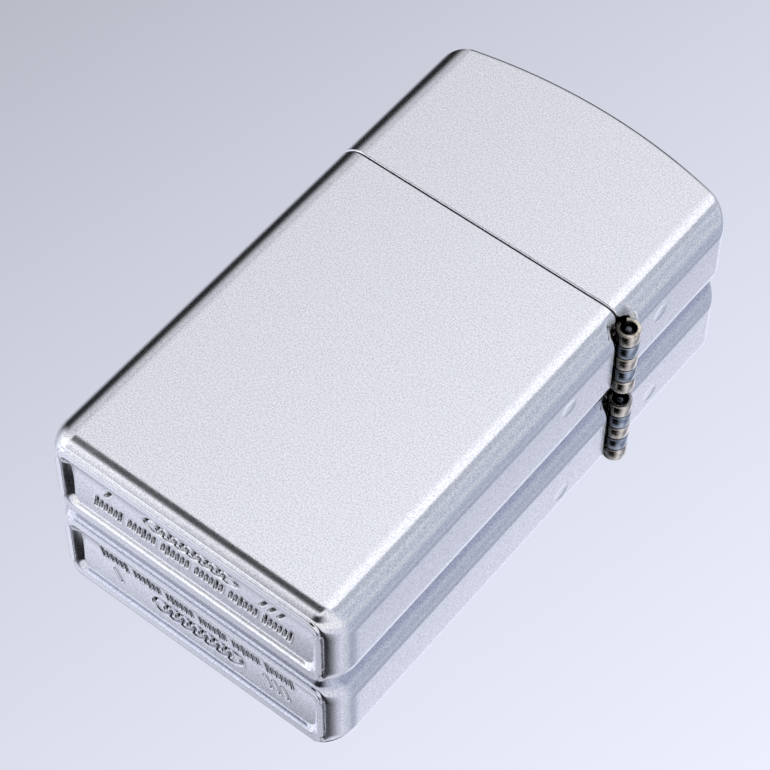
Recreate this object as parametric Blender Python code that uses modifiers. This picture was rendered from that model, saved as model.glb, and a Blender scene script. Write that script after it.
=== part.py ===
"""A slim flip-top wick lighter: hinged case and lid, with the whole insert inside.

The closed lighter lies on its back. +X points to the hinge, +Y to the lid and +Z from the
back face to the front face. The origin is the centre of the back face. Lengths are in metres.
Heights are measured along Y from the bottom end, and at() turns a height into Y.
"""

import math

import bmesh
import bpy
from mathutils import Matrix, Vector

MM = 0.001

# Closed case
WIDTH = 30.0 * MM
LENGTH = 54.6 * MM
THICKNESS = 10.0 * MM
LID_HEIGHT = 16.8 * MM
WALL = 0.5 * MM
EDGE_RADIUS = 2.58 * MM
BOTTOM_RADIUS = 1.0 * MM
CROWN_RADIUS = 52.0 * MM
LID_CORNER_RADIUS = 1.6 * MM
LID_TOP_ROUNDING = 0.45 * MM
SEAM_GAP = 0.1 * MM

# Sunk panel in the bottom end
PANEL_RIM = 3.3 * MM
PANEL_EDGE = 2.1 * MM
PANEL_DEPTH = 0.45 * MM
PANEL_CORNER = 1.0 * MM

# Hinge
BARREL_DIAMETER = 2.1 * MM
PIN_DIAMETER = 1.1 * MM
HINGE_END = 0.9 * MM
KNUCKLES = 5
KNUCKLE_GAP = 0.08 * MM
LEAF = 0.35 * MM
LEAF_LENGTH = 6.5 * MM
WELD_GAP = 0.15 * MM
NOTCH_RELIEF = 0.45 * MM
PIN_RECESS = 0.2 * MM

# Insert
INSERT_GAP = 0.15 * MM
INSERT_WALL = 0.35 * MM
DECK_PROUD = 0.5 * MM
DECK_ROUNDING = 0.8 * MM
FELT = 2.0 * MM
FIT = 0.1 * MM
RUNNING_FIT = 0.05 * MM

# Windscreen
SCREEN_WALL = 0.4 * MM
SCREEN_INSET = 1.05 * MM
SCREEN_CORNER = 1.6 * MM
SCREEN_HEADROOM = 0.4 * MM
VENT_DIAMETER = 1.5 * MM
VENT_PITCH = 3.0 * MM
EAR = 0.3 * MM
EAR_STEP = 0.05 * MM

# Flint wheel and flint
WHEEL_DIAMETER = 6.8 * MM
WHEEL_HEIGHT = 6.9 * MM
WHEEL_FROM_END = 4.9 * MM
WHEEL_SIDE_GAP = 0.25 * MM
WHEEL_TEETH = 28
TOOTH_DEPTH = 0.35 * MM
WHEEL_RIVET_DIAMETER = 1.6 * MM
TUBE_DIAMETER = 3.2 * MM
TUBE_WALL = 0.35 * MM
TUBE_BELOW_WHEEL = 0.5 * MM
FLINT_DIAMETER = 2.3 * MM
FLINT_LENGTH = 5.0 * MM
FLINT_GAP = 0.12 * MM
PLUNGER_LENGTH = 3.0 * MM
SPRING_WIRE = 0.4 * MM
SPRING_PITCH = 2.0 * MM
SCREW_HEAD_DIAMETER = 3.9 * MM
SCREW_HEAD = 1.2 * MM
SCREW_THREAD = 5.0 * MM
SLOT = 0.5 * MM

# Cam
CAM_FROM_END = 3.3 * MM
CAM_HEIGHT = 1.9 * MM
CAM_THICKNESS = 1.8 * MM
CAM_HUB = 1.3 * MM
CAM_TIP = (2.4 * MM, 3.2 * MM, 0.7 * MM)
CAM_HEEL = (-1.9 * MM, -0.6 * MM, 0.6 * MM)
CAM_RIVET_DIAMETER = 1.2 * MM
CAM_EAR_REACH = 1.8 * MM
RIVET_HEAD = 0.3 * MM
RIVET_OVERHANG = 0.5 * MM
CAM_SPRING = 0.3 * MM
CAM_SPRING_WIDTH = 1.7 * MM
CAM_SPRING_ARM = 12.0 * MM
CAM_SPRING_BEND = 1.2 * MM
CAM_SPRING_DROP = 1.0 * MM
SPRING_RIVET_DIAMETER = 0.9 * MM
SPRING_RIVET_UP = 1.6 * MM

# Wick and packing
WICK_DIAMETER = 2.6 * MM
WICK_SHORT_OF_TOP = 2.6 * MM
WICK_SWING = 1.6 * MM
WADS = 5
WAD_GAP = 0.2 * MM

ROUND_STEPS = 6
SMALL_SIDES = 24

# Worked out from the sizes above
SEAM = LENGTH - LID_HEIGHT
MID_Z = THICKNESS / 2
SIDE = WIDTH / 2
BARREL = BARREL_DIAMETER / 2
PIN = PIN_DIAMETER / 2
LEAF_IN = SIDE - WALL - WELD_GAP - LEAF
HINGE_X = LEAF_IN + BARREL
HINGE_REACH = BARREL + NOTCH_RELIEF
KNUCKLE_PITCH = (THICKNESS - 2 * HINGE_END) / KNUCKLES
FLOOR_TOP = PANEL_DEPTH + WALL
FLOOR_ROUNDING = 3 * INSERT_GAP
INSERT_LEFT = -SIDE + WALL + INSERT_GAP
INSERT_RIGHT = LEAF_IN - FIT
INSERT_BACK = WALL + INSERT_GAP
INSERT_FRONT = THICKNESS - INSERT_BACK
INSERT_BASE = FLOOR_TOP + INSERT_GAP
INSERT_RADIUS = EDGE_RADIUS - WALL - INSERT_GAP
DECK_TOP = SEAM + DECK_PROUD
DECK_UNDER = DECK_TOP - INSERT_WALL
WHEEL = WHEEL_DIAMETER / 2
WHEEL_X = INSERT_LEFT + WHEEL_FROM_END
WHEEL_Y = DECK_TOP + WHEEL_HEIGHT
WHEEL_RIVET = WHEEL_RIVET_DIAMETER / 2
CAM_X = INSERT_RIGHT - CAM_FROM_END
CAM_Y = DECK_TOP + CAM_HEIGHT
CAM_RIVET = CAM_RIVET_DIAMETER / 2
SCREEN_LEFT = WHEEL_X + WHEEL + 2 * INSERT_WALL
SCREEN_RIGHT = CAM_X + CAM_HEEL[0] - CAM_HEEL[2] - 3 * FIT
SCREEN_X = (SCREEN_LEFT + SCREEN_RIGHT) / 2
SCREEN_BACK = INSERT_BACK + SCREEN_INSET
SCREEN_FRONT = THICKNESS - SCREEN_BACK
SCREEN_FOOT = DECK_TOP + RUNNING_FIT
CROWN_CENTRE = LENGTH - CROWN_RADIUS
SCREEN_TOP = CROWN_CENTRE + math.sqrt(CROWN_RADIUS**2 - SIDE**2) - WALL - SCREEN_HEADROOM
FELT_BASE = INSERT_BASE + FIT
TUBE = TUBE_DIAMETER / 2
TUBE_BORE = TUBE - TUBE_WALL
TUBE_BASE = FELT_BASE + FELT + FIT
TUBE_TOP = WHEEL_Y - WHEEL - TUBE_BELOW_WHEEL
FLINT_TOP = WHEEL_Y - WHEEL - FLINT_GAP
PLUNGER_TOP = FLINT_TOP - FLINT_LENGTH - FIT
SCREW_TOP = TUBE_BASE + SCREW_THREAD - FIT
WICK = WICK_DIAMETER / 2


def at(height):
    """The Y of a height above the bottom end."""
    return height - LENGTH / 2


def linear(hex_colour):
    """An sRGB hex colour as linear red, green, blue and alpha."""
    parts = [int(hex_colour[i : i + 2], 16) / 255 for i in (1, 3, 5)]
    return [c / 12.92 if c <= 0.04045 else ((c + 0.055) / 1.055) ** 2.4 for c in parts] + [1.0]


def finish(name, hex_colour, metallic, roughness):
    """A material with one Principled shader."""
    material = bpy.data.materials.new(name)
    material.use_nodes = True
    shader = material.node_tree.nodes["Principled BSDF"]
    shader.inputs["Base Color"].default_value = linear(hex_colour)
    shader.inputs["Metallic"].default_value = metallic
    shader.inputs["Roughness"].default_value = roughness
    return material


def clear_scene():
    """Removes what a new file starts with."""
    for thing in list(bpy.data.objects):
        bpy.data.objects.remove(thing, do_unlink=True)


def new_collection(name):
    """A collection under the scene's own one."""
    collection = bpy.data.collections.new(name)
    bpy.context.scene.collection.children.link(collection)
    return collection


clear_scene()
PARTS = new_collection("slim_lighter")
CUTTERS = new_collection("cutters")

SATIN_CHROME = finish("satin chrome on brass", "#C9CCD6", 1.0, 0.35)
HINGE_STEEL = finish("nickelled hinge steel", "#8F8A84", 1.0, 0.3)
INSERT_STEEL = finish("stainless steel sheet", "#B9BABC", 1.0, 0.28)
WHEEL_STEEL = finish("hardened wheel steel", "#6A6C70", 1.0, 0.4)
TUBE_BRASS = finish("tube brass", "#B8975A", 1.0, 0.35)
SPRING_STEEL = finish("spring steel", "#7E8084", 1.0, 0.3)
FLINT_ALLOY = finish("sparking flint", "#5A5550", 0.6, 0.6)
WICK_COTTON = finish("wick cotton", "#E9E2D2", 0.0, 0.95)
WAD_COTTON = finish("cotton wadding", "#F1EFEA", 0.0, 1.0)
GREY_FELT = finish("grey wool felt", "#8B8A86", 0.0, 1.0)


def place(name, mesh, material):
    """A named part made of one mesh."""
    part = bpy.data.objects.new(name, mesh)
    mesh.materials.append(material)
    PARTS.objects.link(part)
    return part


def guide(name, mesh):
    """A shape that only cuts or joins a part."""
    shape = bpy.data.objects.new(name, mesh)
    shape.hide_render = True
    shape.display_type = "WIRE"
    CUTTERS.objects.link(shape)
    return shape


def combine(part, operation, mesh, name):
    """A Boolean on a part with a guide of that mesh."""
    modifier = part.modifiers.new(name, "BOOLEAN")
    modifier.operation = operation
    modifier.solver = "EXACT"
    modifier.object = guide(f"{part.name}_{name}", mesh)


def cut(part, mesh, name):
    """Takes a mesh away from a part."""
    combine(part, "DIFFERENCE", mesh, name)


def join(part, mesh, name):
    """Adds a mesh that overlaps a part to it."""
    combine(part, "UNION", mesh, name)


def to_mesh(bm):
    """The mesh of a finished bmesh, with its round faces shaded smooth."""
    bmesh.ops.recalc_face_normals(bm, faces=bm.faces)
    mesh = bpy.data.meshes.new("shape")
    bm.to_mesh(mesh)
    bm.free()
    mesh.shade_smooth()
    mesh.set_sharp_from_angle(angle=math.radians(35))
    return mesh


def cube(bm, low, high):
    """Adds a box between two corners to a bmesh."""
    low, high = Vector(low), Vector(high)
    matrix = Matrix.LocRotScale((low + high) / 2, None, high - low)
    return bmesh.ops.create_cube(bm, size=1.0, matrix=matrix)


def box(*corners):
    """One mesh of boxes, each given by its low and high corner."""
    bm = bmesh.new()
    for low, high in corners:
        cube(bm, low, high)
    return to_mesh(bm)


def rounded_box(low, high, radius, end_radius=0.0, end=0):
    """A box rounded along its Y edges, and at its end towards -Y or +Y if one is named."""
    bm = bmesh.new()
    cube(bm, low, high)
    edges = [e for e in bm.edges if abs(e.verts[0].co.y - e.verts[1].co.y) > FIT]
    bmesh.ops.bevel(bm, geom=edges, offset=radius, segments=ROUND_STEPS, profile=0.5, affect="EDGES")
    if end:
        level = low[1] if end < 0 else high[1]
        edges = [e for e in bm.edges if all(abs(v.co.y - level) < 1e-7 for v in e.verts)]
        bmesh.ops.bevel(bm, geom=edges, offset=end_radius, segments=4, profile=0.5, affect="EDGES")
    return to_mesh(bm)


def rod(axis, centre, low, high, radius, sides=SMALL_SIDES):
    """A cylinder along axis 0, 1 or 2, through a centre, between two places on that axis."""
    bm = bmesh.new()
    add_rod(bm, axis, centre, low, high, radius, sides)
    return to_mesh(bm)


def add_rod(bm, axis, centre, low, high, radius, sides):
    """Adds that cylinder to a bmesh."""
    turn = {0: Matrix.Rotation(math.pi / 2, 4, "Y"), 1: Matrix.Rotation(math.pi / 2, 4, "X")}
    middle = Vector(centre)
    middle[axis] = (low + high) / 2
    bmesh.ops.create_cone(
        bm,
        cap_ends=True,
        segments=sides,
        radius1=radius,
        radius2=radius,
        depth=high - low,
        matrix=Matrix.Translation(middle) @ turn.get(axis, Matrix.Identity(4)),
    )


def mesh_of_curve(curve):
    """The closed mesh that a filled or bevelled curve makes."""
    thing = bpy.data.objects.new("outline", curve)
    bpy.context.scene.collection.objects.link(thing)
    graph = bpy.context.evaluated_depsgraph_get()
    mesh = bpy.data.meshes.new_from_object(thing.evaluated_get(graph))
    bpy.data.objects.remove(thing, do_unlink=True)
    bm = bmesh.new()
    bm.from_mesh(mesh)
    bmesh.ops.remove_doubles(bm, verts=bm.verts, dist=1e-6)
    bpy.data.meshes.remove(mesh)
    return to_mesh(bm)


def plate(outline, low, high):
    """A flat outline in X and Y, made solid between two Z levels."""
    curve = bpy.data.curves.new("outline", "CURVE")
    curve.dimensions = "2D"
    curve.fill_mode = "BOTH"
    curve.extrude = (high - low) / 2
    spline = curve.splines.new("POLY")
    spline.points.add(len(outline) - 1)
    for point, (x, y) in zip(spline.points, outline):
        point.co = (x, y, 0.0, 1.0)
    spline.use_cyclic_u = True
    mesh = mesh_of_curve(curve)
    mesh.transform(Matrix.Translation((0.0, 0.0, (low + high) / 2)))
    return mesh


def arc(centre, radius, start, stop, steps):
    """Points of an arc, with its angles in degrees."""
    angles = [math.radians(start + (stop - start) * i / steps) for i in range(steps + 1)]
    return [(centre[0] + radius * math.cos(a), centre[1] + radius * math.sin(a)) for a in angles]


def capsule(start, stop, start_radius, stop_radius):
    """The outline of two circles and the lines that touch both."""
    way = Vector(stop) - Vector(start)
    heading = math.degrees(math.atan2(way.y, way.x))
    lean = math.degrees(math.acos((start_radius - stop_radius) / way.length))
    head = arc(stop, stop_radius, heading - lean, heading + lean, 10)
    return head + arc(start, start_radius, heading + lean, heading - lean + 360, 12)


def turned(name, profile, axis, centre, material):
    """A solid turned from (radius, place) points, given from the high end to the low end."""
    bm = bmesh.new()
    points = [bm.verts.new((radius, 0.0, place_on_axis)) for radius, place_on_axis in profile]
    for first, second in zip(points, points[1:]):
        bm.edges.new((first, second))
    mesh = bpy.data.meshes.new(name)
    bm.to_mesh(mesh)
    bm.free()
    part = place(name, mesh, material)
    turn = {0: Matrix.Rotation(math.pi / 2, 4, "Y"), 1: Matrix.Rotation(-math.pi / 2, 4, "X")}
    middle = Vector(centre)
    middle[axis] = 0.0
    part.matrix_world = Matrix.Translation(middle) @ turn.get(axis, Matrix.Identity(4))
    screw = part.modifiers.new("turn", "SCREW")
    screw.steps = SMALL_SIDES
    screw.render_steps = SMALL_SIDES
    screw.use_merge_vertices = True
    screw.merge_threshold = 1e-6
    screw.use_smooth_shade = True
    return part


def pivot(name, centre):
    """An empty on a joint's axis, which carries the moving pieces."""
    empty = bpy.data.objects.new(name, None)
    empty.empty_display_size = WALL * 4
    empty.location = centre
    PARTS.objects.link(empty)
    return empty


def hang(empty, *parts):
    """Parents pieces to an empty, and leaves them where they are."""
    for part in parts:
        part.parent = empty
        part.matrix_parent_inverse = Matrix.Translation(-empty.location)


def crowned_outline(half_width, base, crest, radius, corner):
    """A rectangle whose top is an arc, with rounded top corners."""
    centre = crest - radius
    corner_x = half_width - corner
    corner_y = centre + math.sqrt((radius - corner) ** 2 - corner_x**2)
    lean = math.degrees(math.atan2(corner_y - centre, corner_x))
    points = [(-half_width, at(base)), (half_width, at(base))]
    points += arc((corner_x, at(corner_y)), corner, 0, lean, 5)
    points += arc((0.0, at(centre)), radius, lean, 180 - lean, 16)[1:-1]
    points += arc((-corner_x, at(corner_y)), corner, 180 - lean, 180, 5)
    return points


def hinge_notch():
    """The opening that the case and lid walls leave round the hinge barrel."""
    low = (LEAF_IN - FIT, at(SEAM - HINGE_REACH), HINGE_END - NOTCH_RELIEF)
    high = (SIDE + BARREL, at(SEAM + HINGE_REACH), THICKNESS - HINGE_END + NOTCH_RELIEF)
    return box((low, high))


def make_case_body():
    """The lower shell: a deep cup with a rimmed, sunk bottom."""
    low = (-SIDE, at(0.0), 0.0)
    high = (SIDE, at(SEAM - SEAM_GAP / 2), THICKNESS)
    part = place("case_body", rounded_box(low, high, EDGE_RADIUS, BOTTOM_RADIUS, -1), SATIN_CHROME)
    inside_low = (-SIDE + WALL, at(FLOOR_TOP), WALL)
    inside_high = (SIDE - WALL, at(SEAM + WALL), THICKNESS - WALL)
    inside = rounded_box(inside_low, inside_high, EDGE_RADIUS - WALL, FLOOR_ROUNDING, -1)
    cut(part, inside, "hollow")
    panel_low = (-SIDE + PANEL_RIM, at(-WALL), PANEL_EDGE)
    panel_high = (SIDE - PANEL_RIM, at(PANEL_DEPTH), THICKNESS - PANEL_EDGE)
    cut(part, rounded_box(panel_low, panel_high, PANEL_CORNER), "bottom_panel")
    cut(part, hinge_notch(), "hinge_notch")
    return part


def lid_form(inset, base):
    """The lid's closed outer form, or the same form set in by a wall."""
    low = (-SIDE + inset, at(base) - WALL, inset)
    high = (SIDE - inset, at(LENGTH + WALL), THICKNESS - inset)
    bar = rounded_box(low, high, EDGE_RADIUS - inset)
    outline = crowned_outline(
        SIDE - inset, base, LENGTH - inset, CROWN_RADIUS - inset, LID_CORNER_RADIUS - inset
    )
    return bar, plate(outline, inset - WALL, THICKNESS - inset + WALL)


def make_case_lid():
    """The upper shell: a cap with a crowned top."""
    rim, below = SEAM + SEAM_GAP / 2, SEAM - 4 * WALL
    bar, crowned = lid_form(0.0, below)
    part = place("case_lid", crowned, SATIN_CHROME)
    combine(part, "INTERSECT", bar, "section")
    rounding = part.modifiers.new("top_rounding", "BEVEL")
    rounding.width = LID_TOP_ROUNDING
    rounding.segments = 3
    rounding.limit_method = "ANGLE"
    rounding.angle_limit = math.radians(50)
    inner_bar, inner_crowned = lid_form(WALL, below - WALL)
    hollow = guide("case_lid_inside", inner_crowned)
    combine(hollow, "INTERSECT", inner_bar, "section")
    modifier = part.modifiers.new("hollow", "BOOLEAN")
    modifier.operation = "DIFFERENCE"
    modifier.solver = "EXACT"
    modifier.object = hollow
    cut(part, box(((-WIDTH, at(0.0), -WALL), (WIDTH, at(rim), THICKNESS + WALL))), "rim")
    cut(part, hinge_notch(), "hinge_notch")
    return part


def knuckle_span(index):
    """The Z range of one hinge knuckle."""
    low = HINGE_END + index * KNUCKLE_PITCH
    return low + KNUCKLE_GAP / 2, low + KNUCKLE_PITCH - KNUCKLE_GAP / 2


def make_hinge_leaf(name, side, knuckles):
    """A leaf welded inside one shell: side is -1 for the case and 1 for the lid."""

    def strip(near, far, low, high):
        ends = sorted((at(SEAM + side * near), at(SEAM + side * far)))
        return (LEAF_IN, ends[0], low), (LEAF_IN + LEAF, ends[1], high)

    foot_near = HINGE_REACH - 3 * FIT
    plate_low, plate_high = EDGE_RADIUS - 3 * FIT, THICKNESS - EDGE_RADIUS + 3 * FIT
    part = place(name, box(strip(foot_near, LEAF_LENGTH, plate_low, plate_high)), HINGE_STEEL)
    ends = knuckle_span(knuckles[0])[0], knuckle_span(knuckles[-1])[1]
    join(part, box(strip(BARREL + RUNNING_FIT, HINGE_REACH - FIT, *ends)), "foot")
    for index in knuckles:
        span = knuckle_span(index)
        join(part, box(strip(BARREL / 8, BARREL + 2 * FIT, *span)), f"tab_{index}")
        centre = (HINGE_X, at(SEAM), 0.0)
        join(part, rod(2, centre, *span, BARREL, SMALL_SIDES), f"knuckle_{index}")
    bore = rod(2, (HINGE_X, at(SEAM), 0.0), 0.0, THICKNESS, PIN + RUNNING_FIT)
    cut(part, bore, "bore")
    return part


def make_hinge_pin():
    """The pin through all the knuckles, a little short of both ends."""
    centre = (HINGE_X, at(SEAM), 0.0)
    low = HINGE_END + PIN_RECESS
    return place("hinge_pin", rod(2, centre, low, THICKNESS - low, PIN), HINGE_STEEL)


def spring_slot():
    """The opening in the deck that the cam spring's tip comes up through."""
    middle = CAM_X + CAM_HEEL[0]
    reach = CAM_SPRING + 3 * FIT
    half = CAM_SPRING_WIDTH / 2 + FIT
    low = (middle - reach, at(DECK_UNDER - WALL), MID_Z - half)
    return box((low, (middle + reach, at(DECK_TOP + WALL), MID_Z + half)))


def rivet_height():
    """The height of the rivet that holds the cam spring to the insert's side."""
    return DECK_UNDER - CAM_SPRING_ARM + SPRING_RIVET_UP


def make_insert_shell():
    """The insert's shell: a deep cup that stands mouth down, so its floor is the deck."""
    low = (INSERT_LEFT, at(INSERT_BASE), INSERT_BACK)
    high = (INSERT_RIGHT, at(DECK_TOP), INSERT_FRONT)
    form = rounded_box(low, high, INSERT_RADIUS, DECK_ROUNDING, 1)
    part = place("insert_shell", form, INSERT_STEEL)
    inside_low = (INSERT_LEFT + INSERT_WALL, at(INSERT_BASE) - WALL, INSERT_BACK + INSERT_WALL)
    inside_high = (INSERT_RIGHT - INSERT_WALL, at(DECK_UNDER), INSERT_FRONT - INSERT_WALL)
    inside_radius = INSERT_RADIUS - INSERT_WALL
    inside = rounded_box(inside_low, inside_high, inside_radius, DECK_ROUNDING - INSERT_WALL, 1)
    cut(part, inside, "hollow")
    reach = at(DECK_UNDER - WALL), at(DECK_TOP + WALL)
    cut(part, rod(1, (SCREEN_X, 0.0, MID_Z), *reach, WICK + FIT), "wick_hole")
    cut(part, rod(1, (WHEEL_X, 0.0, MID_Z), *reach, TUBE + RUNNING_FIT), "tube_hole")
    cut(part, spring_slot(), "spring_slot")
    hole = rod(
        0,
        (0.0, at(rivet_height()), MID_Z),
        INSERT_RIGHT - INSERT_WALL - WALL,
        INSERT_RIGHT + WALL,
        SPRING_RIVET_DIAMETER / 2 + RUNNING_FIT,
    )
    cut(part, hole, "rivet_hole")
    return part


def wheel_ear_outline():
    """One ear from the windscreen's wall round the wheel's rivet."""
    round_end = WHEEL_RIVET + 3 * WALL
    inner = SCREEN_LEFT + SCREEN_CORNER + INSERT_WALL
    top = arc((WHEEL_X, at(WHEEL_Y)), round_end, 190, 70, 10)
    foot = at(SCREEN_FOOT)
    shoulder = at(WHEEL_Y) + WHEEL
    return [(inner, foot), (WHEEL_X + round_end / 2, foot)] + top + [(inner, shoulder)]


def cam_ear_outline():
    """One ear from the windscreen's end wall round the cam's rivet."""
    round_end = CAM_EAR_REACH - FIT
    inner = SCREEN_RIGHT - SCREEN_WALL / 2
    top = arc((CAM_X, at(CAM_Y)), round_end, 0, 100, 8)
    foot = at(SCREEN_FOOT)
    return [(inner, foot), (CAM_X + round_end, foot)] + top + [(inner, at(CAM_Y) + WHEEL)]


def vent_holes():
    """The windscreen's air holes, in staggered columns, right through both walls."""
    bm = bmesh.new()
    middle = (SCREEN_FOOT + SCREEN_TOP) / 2
    for column, count in ((-1, 3), (0, 2), (1, 3)):
        for row in range(count):
            height = middle + (row - (count - 1) / 2) * VENT_PITCH
            centre = (SCREEN_X + column * VENT_PITCH, at(height), 0.0)
            add_rod(bm, 2, centre, 0.0, THICKNESS, VENT_DIAMETER / 2, 16)
    return to_mesh(bm)


def make_windscreen():
    """The chimney round the flame, with ears for the wheel's and the cam's rivets."""
    low = (SCREEN_LEFT, at(SCREEN_FOOT), SCREEN_BACK)
    high = (SCREEN_RIGHT, at(SCREEN_TOP), SCREEN_FRONT)
    part = place("windscreen", rounded_box(low, high, SCREEN_CORNER), INSERT_STEEL)
    for name, level in (("back", SCREEN_BACK + EAR_STEP), ("front", SCREEN_FRONT - EAR_STEP - EAR)):
        join(part, plate(wheel_ear_outline(), level, level + EAR), f"wheel_ear_{name}")
    cam_side = CAM_THICKNESS / 2 + FIT
    for name, level in (("back", MID_Z - cam_side - EAR), ("front", MID_Z + cam_side)):
        join(part, plate(cam_ear_outline(), level, level + EAR), f"cam_ear_{name}")
    inside_low = (SCREEN_LEFT + SCREEN_WALL, at(SCREEN_FOOT) - WALL, SCREEN_BACK + SCREEN_WALL)
    inside_high = (SCREEN_RIGHT - SCREEN_WALL, at(SCREEN_TOP) + WALL, SCREEN_FRONT - SCREEN_WALL)
    cut(part, rounded_box(inside_low, inside_high, SCREEN_CORNER - SCREEN_WALL), "hollow")
    spark_low = (SCREEN_LEFT - FIT, at(WHEEL_Y - WHEEL), SCREEN_BACK + SCREEN_CORNER)
    spark_high = (SCREEN_LEFT + 2 * SCREEN_WALL, at(WHEEL_Y + WHEEL), SCREEN_FRONT - SCREEN_CORNER)
    cut(part, box((spark_low, spark_high)), "spark_window")
    cut(part, vent_holes(), "vents")
    through = 0.0, THICKNESS
    cut(part, rod(2, (WHEEL_X, at(WHEEL_Y), 0.0), *through, WHEEL_RIVET + RUNNING_FIT), "wheel_hole")
    cut(part, rod(2, (CAM_X, at(CAM_Y), 0.0), *through, CAM_RIVET + RUNNING_FIT), "cam_hole")
    return part


def make_flint_wheel():
    """A toothed wheel with a bore for its rivet."""
    steps = 2 * WHEEL_TEETH
    outline = []
    for i in range(steps):
        radius = WHEEL - TOOTH_DEPTH * (i % 2)
        angle = 2 * math.pi * (i + 0.5) / steps
        outline.append((WHEEL_X + radius * math.cos(angle), at(WHEEL_Y) + radius * math.sin(angle)))
    ear_inside = SCREEN_BACK + EAR_STEP + EAR
    low, high = ear_inside + WHEEL_SIDE_GAP, THICKNESS - ear_inside - WHEEL_SIDE_GAP
    part = place("flint_wheel", plate(outline, low, high), WHEEL_STEEL)
    centre = (WHEEL_X, at(WHEEL_Y), 0.0)
    cut(part, rod(2, centre, 0.0, THICKNESS, WHEEL_RIVET + RUNNING_FIT), "bore")
    return part


def make_rivet(name, axis, centre, low, high, radius):
    """A rivet with a flat head at each end, outside the ears at low and high."""
    head = radius + RIVET_OVERHANG
    top, bottom = high + RUNNING_FIT, low - RUNNING_FIT
    profile = [
        (0.0, top + RIVET_HEAD),
        (head - FIT, top + RIVET_HEAD),
        (head, top + RIVET_HEAD - FIT),
        (head, top),
        (radius, top),
        (radius, bottom),
        (head, bottom),
        (head, bottom - RIVET_HEAD + FIT),
        (head - FIT, bottom - RIVET_HEAD),
        (0.0, bottom - RIVET_HEAD),
    ]
    return turned(name, profile, axis, centre, HINGE_STEEL)


def make_cam_lever():
    """The lever that the lid pushes over and the cam spring pushes back."""
    hub = (CAM_X, at(CAM_Y))
    tip = (CAM_X + CAM_TIP[0], at(CAM_Y) + CAM_TIP[1])
    heel = (CAM_X + CAM_HEEL[0], at(CAM_Y) + CAM_HEEL[1])
    span = MID_Z - CAM_THICKNESS / 2, MID_Z + CAM_THICKNESS / 2
    part = place("cam_lever", plate(capsule(hub, tip, CAM_HUB, CAM_TIP[2]), *span), INSERT_STEEL)
    join(part, plate(capsule(hub, heel, CAM_HUB - FIT, CAM_HEEL[2]), *span), "heel")
    cut(part, rod(2, (*hub, 0.0), 0.0, THICKNESS, CAM_RIVET + RUNNING_FIT), "bore")
    return part


def cam_spring_line():
    """The cam spring's middle line: up the side wall, in under the deck, up to the heel."""
    wall_x = INSERT_RIGHT - INSERT_WALL - FIT - CAM_SPRING / 2
    run = DECK_UNDER - CAM_SPRING_DROP
    tip_x = CAM_X + CAM_HEEL[0]
    heel_under = CAM_Y + CAM_HEEL[1] - CAM_HEEL[2]
    bend, curl = CAM_SPRING_BEND, CAM_SPRING_DROP - FIT
    points = [(wall_x, at(DECK_UNDER - CAM_SPRING_ARM))]
    points += arc((wall_x - bend, at(run - bend)), bend, 0, 90, 6)
    points += arc((tip_x + curl, at(run + curl)), curl, 270, 180, 6)
    points.append((tip_x, at(heel_under - 2 * FIT)))
    return points


def make_cam_spring():
    """A leaf spring bent from one strip."""
    half = CAM_SPRING_WIDTH / 2
    bm = bmesh.new()
    rows = [
        [bm.verts.new((x, y, MID_Z + z)) for z in (-half, half)] for x, y in cam_spring_line()
    ]
    for first, second in zip(rows, rows[1:]):
        bm.faces.new((first[0], second[0], second[1], first[1]))
    part = place("cam_spring", to_mesh(bm), SPRING_STEEL)
    solid = part.modifiers.new("thickness", "SOLIDIFY")
    solid.thickness = CAM_SPRING
    solid.offset = 0.0
    centre = (0.0, at(rivet_height()), MID_Z)
    hole = rod(0, centre, CAM_X, INSERT_RIGHT, SPRING_RIVET_DIAMETER / 2 + RUNNING_FIT)
    cut(part, hole, "rivet_hole")
    return part


def make_spring_rivet():
    """The rivet that holds the cam spring, flush with the insert's outside."""
    radius = SPRING_RIVET_DIAMETER / 2
    head = radius + RIVET_OVERHANG - FIT
    leaf_inside = INSERT_RIGHT - INSERT_WALL - FIT - CAM_SPRING
    under = leaf_inside - RUNNING_FIT
    outer = INSERT_RIGHT - RUNNING_FIT / 2
    profile = [(0.0, outer), (radius, outer), (radius, under), (head, under)]
    profile += [(head, under - RIVET_HEAD), (0.0, under - RIVET_HEAD)]
    centre = (0.0, at(rivet_height()), MID_Z)
    return turned("cam_spring_rivet", profile, 0, centre, HINGE_STEEL)


def make_flint_tube():
    """The brass tube that guides the flint up to the wheel."""
    centre = (WHEEL_X, 0.0, MID_Z)
    ends = at(TUBE_BASE), at(TUBE_TOP)
    part = place("flint_tube", rod(1, centre, *ends, TUBE), TUBE_BRASS)
    cut(part, rod(1, centre, ends[0] - WALL, ends[1] + WALL, TUBE_BORE), "bore")
    return part


def make_flint():
    """The flint rod under the wheel."""
    centre = (WHEEL_X, 0.0, MID_Z)
    ends = at(FLINT_TOP - FLINT_LENGTH), at(FLINT_TOP)
    return place("flint", rod(1, centre, *ends, FLINT_DIAMETER / 2), FLINT_ALLOY)


def make_flint_plunger():
    """The brass tip on the spring that pushes the flint up."""
    radius = FLINT_DIAMETER / 2
    stem = radius - SPRING_WIRE - FIT
    shoulder = PLUNGER_TOP - PLUNGER_LENGTH / 2
    profile = [(0.0, at(PLUNGER_TOP)), (radius - FIT, at(PLUNGER_TOP))]
    profile += [(radius, at(PLUNGER_TOP - FIT)), (radius, at(shoulder)), (stem, at(shoulder))]
    profile += [(stem, at(PLUNGER_TOP - PLUNGER_LENGTH)), (0.0, at(PLUNGER_TOP - PLUNGER_LENGTH))]
    return turned("flint_plunger", profile, 1, (WHEEL_X, 0.0, MID_Z), TUBE_BRASS)


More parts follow.
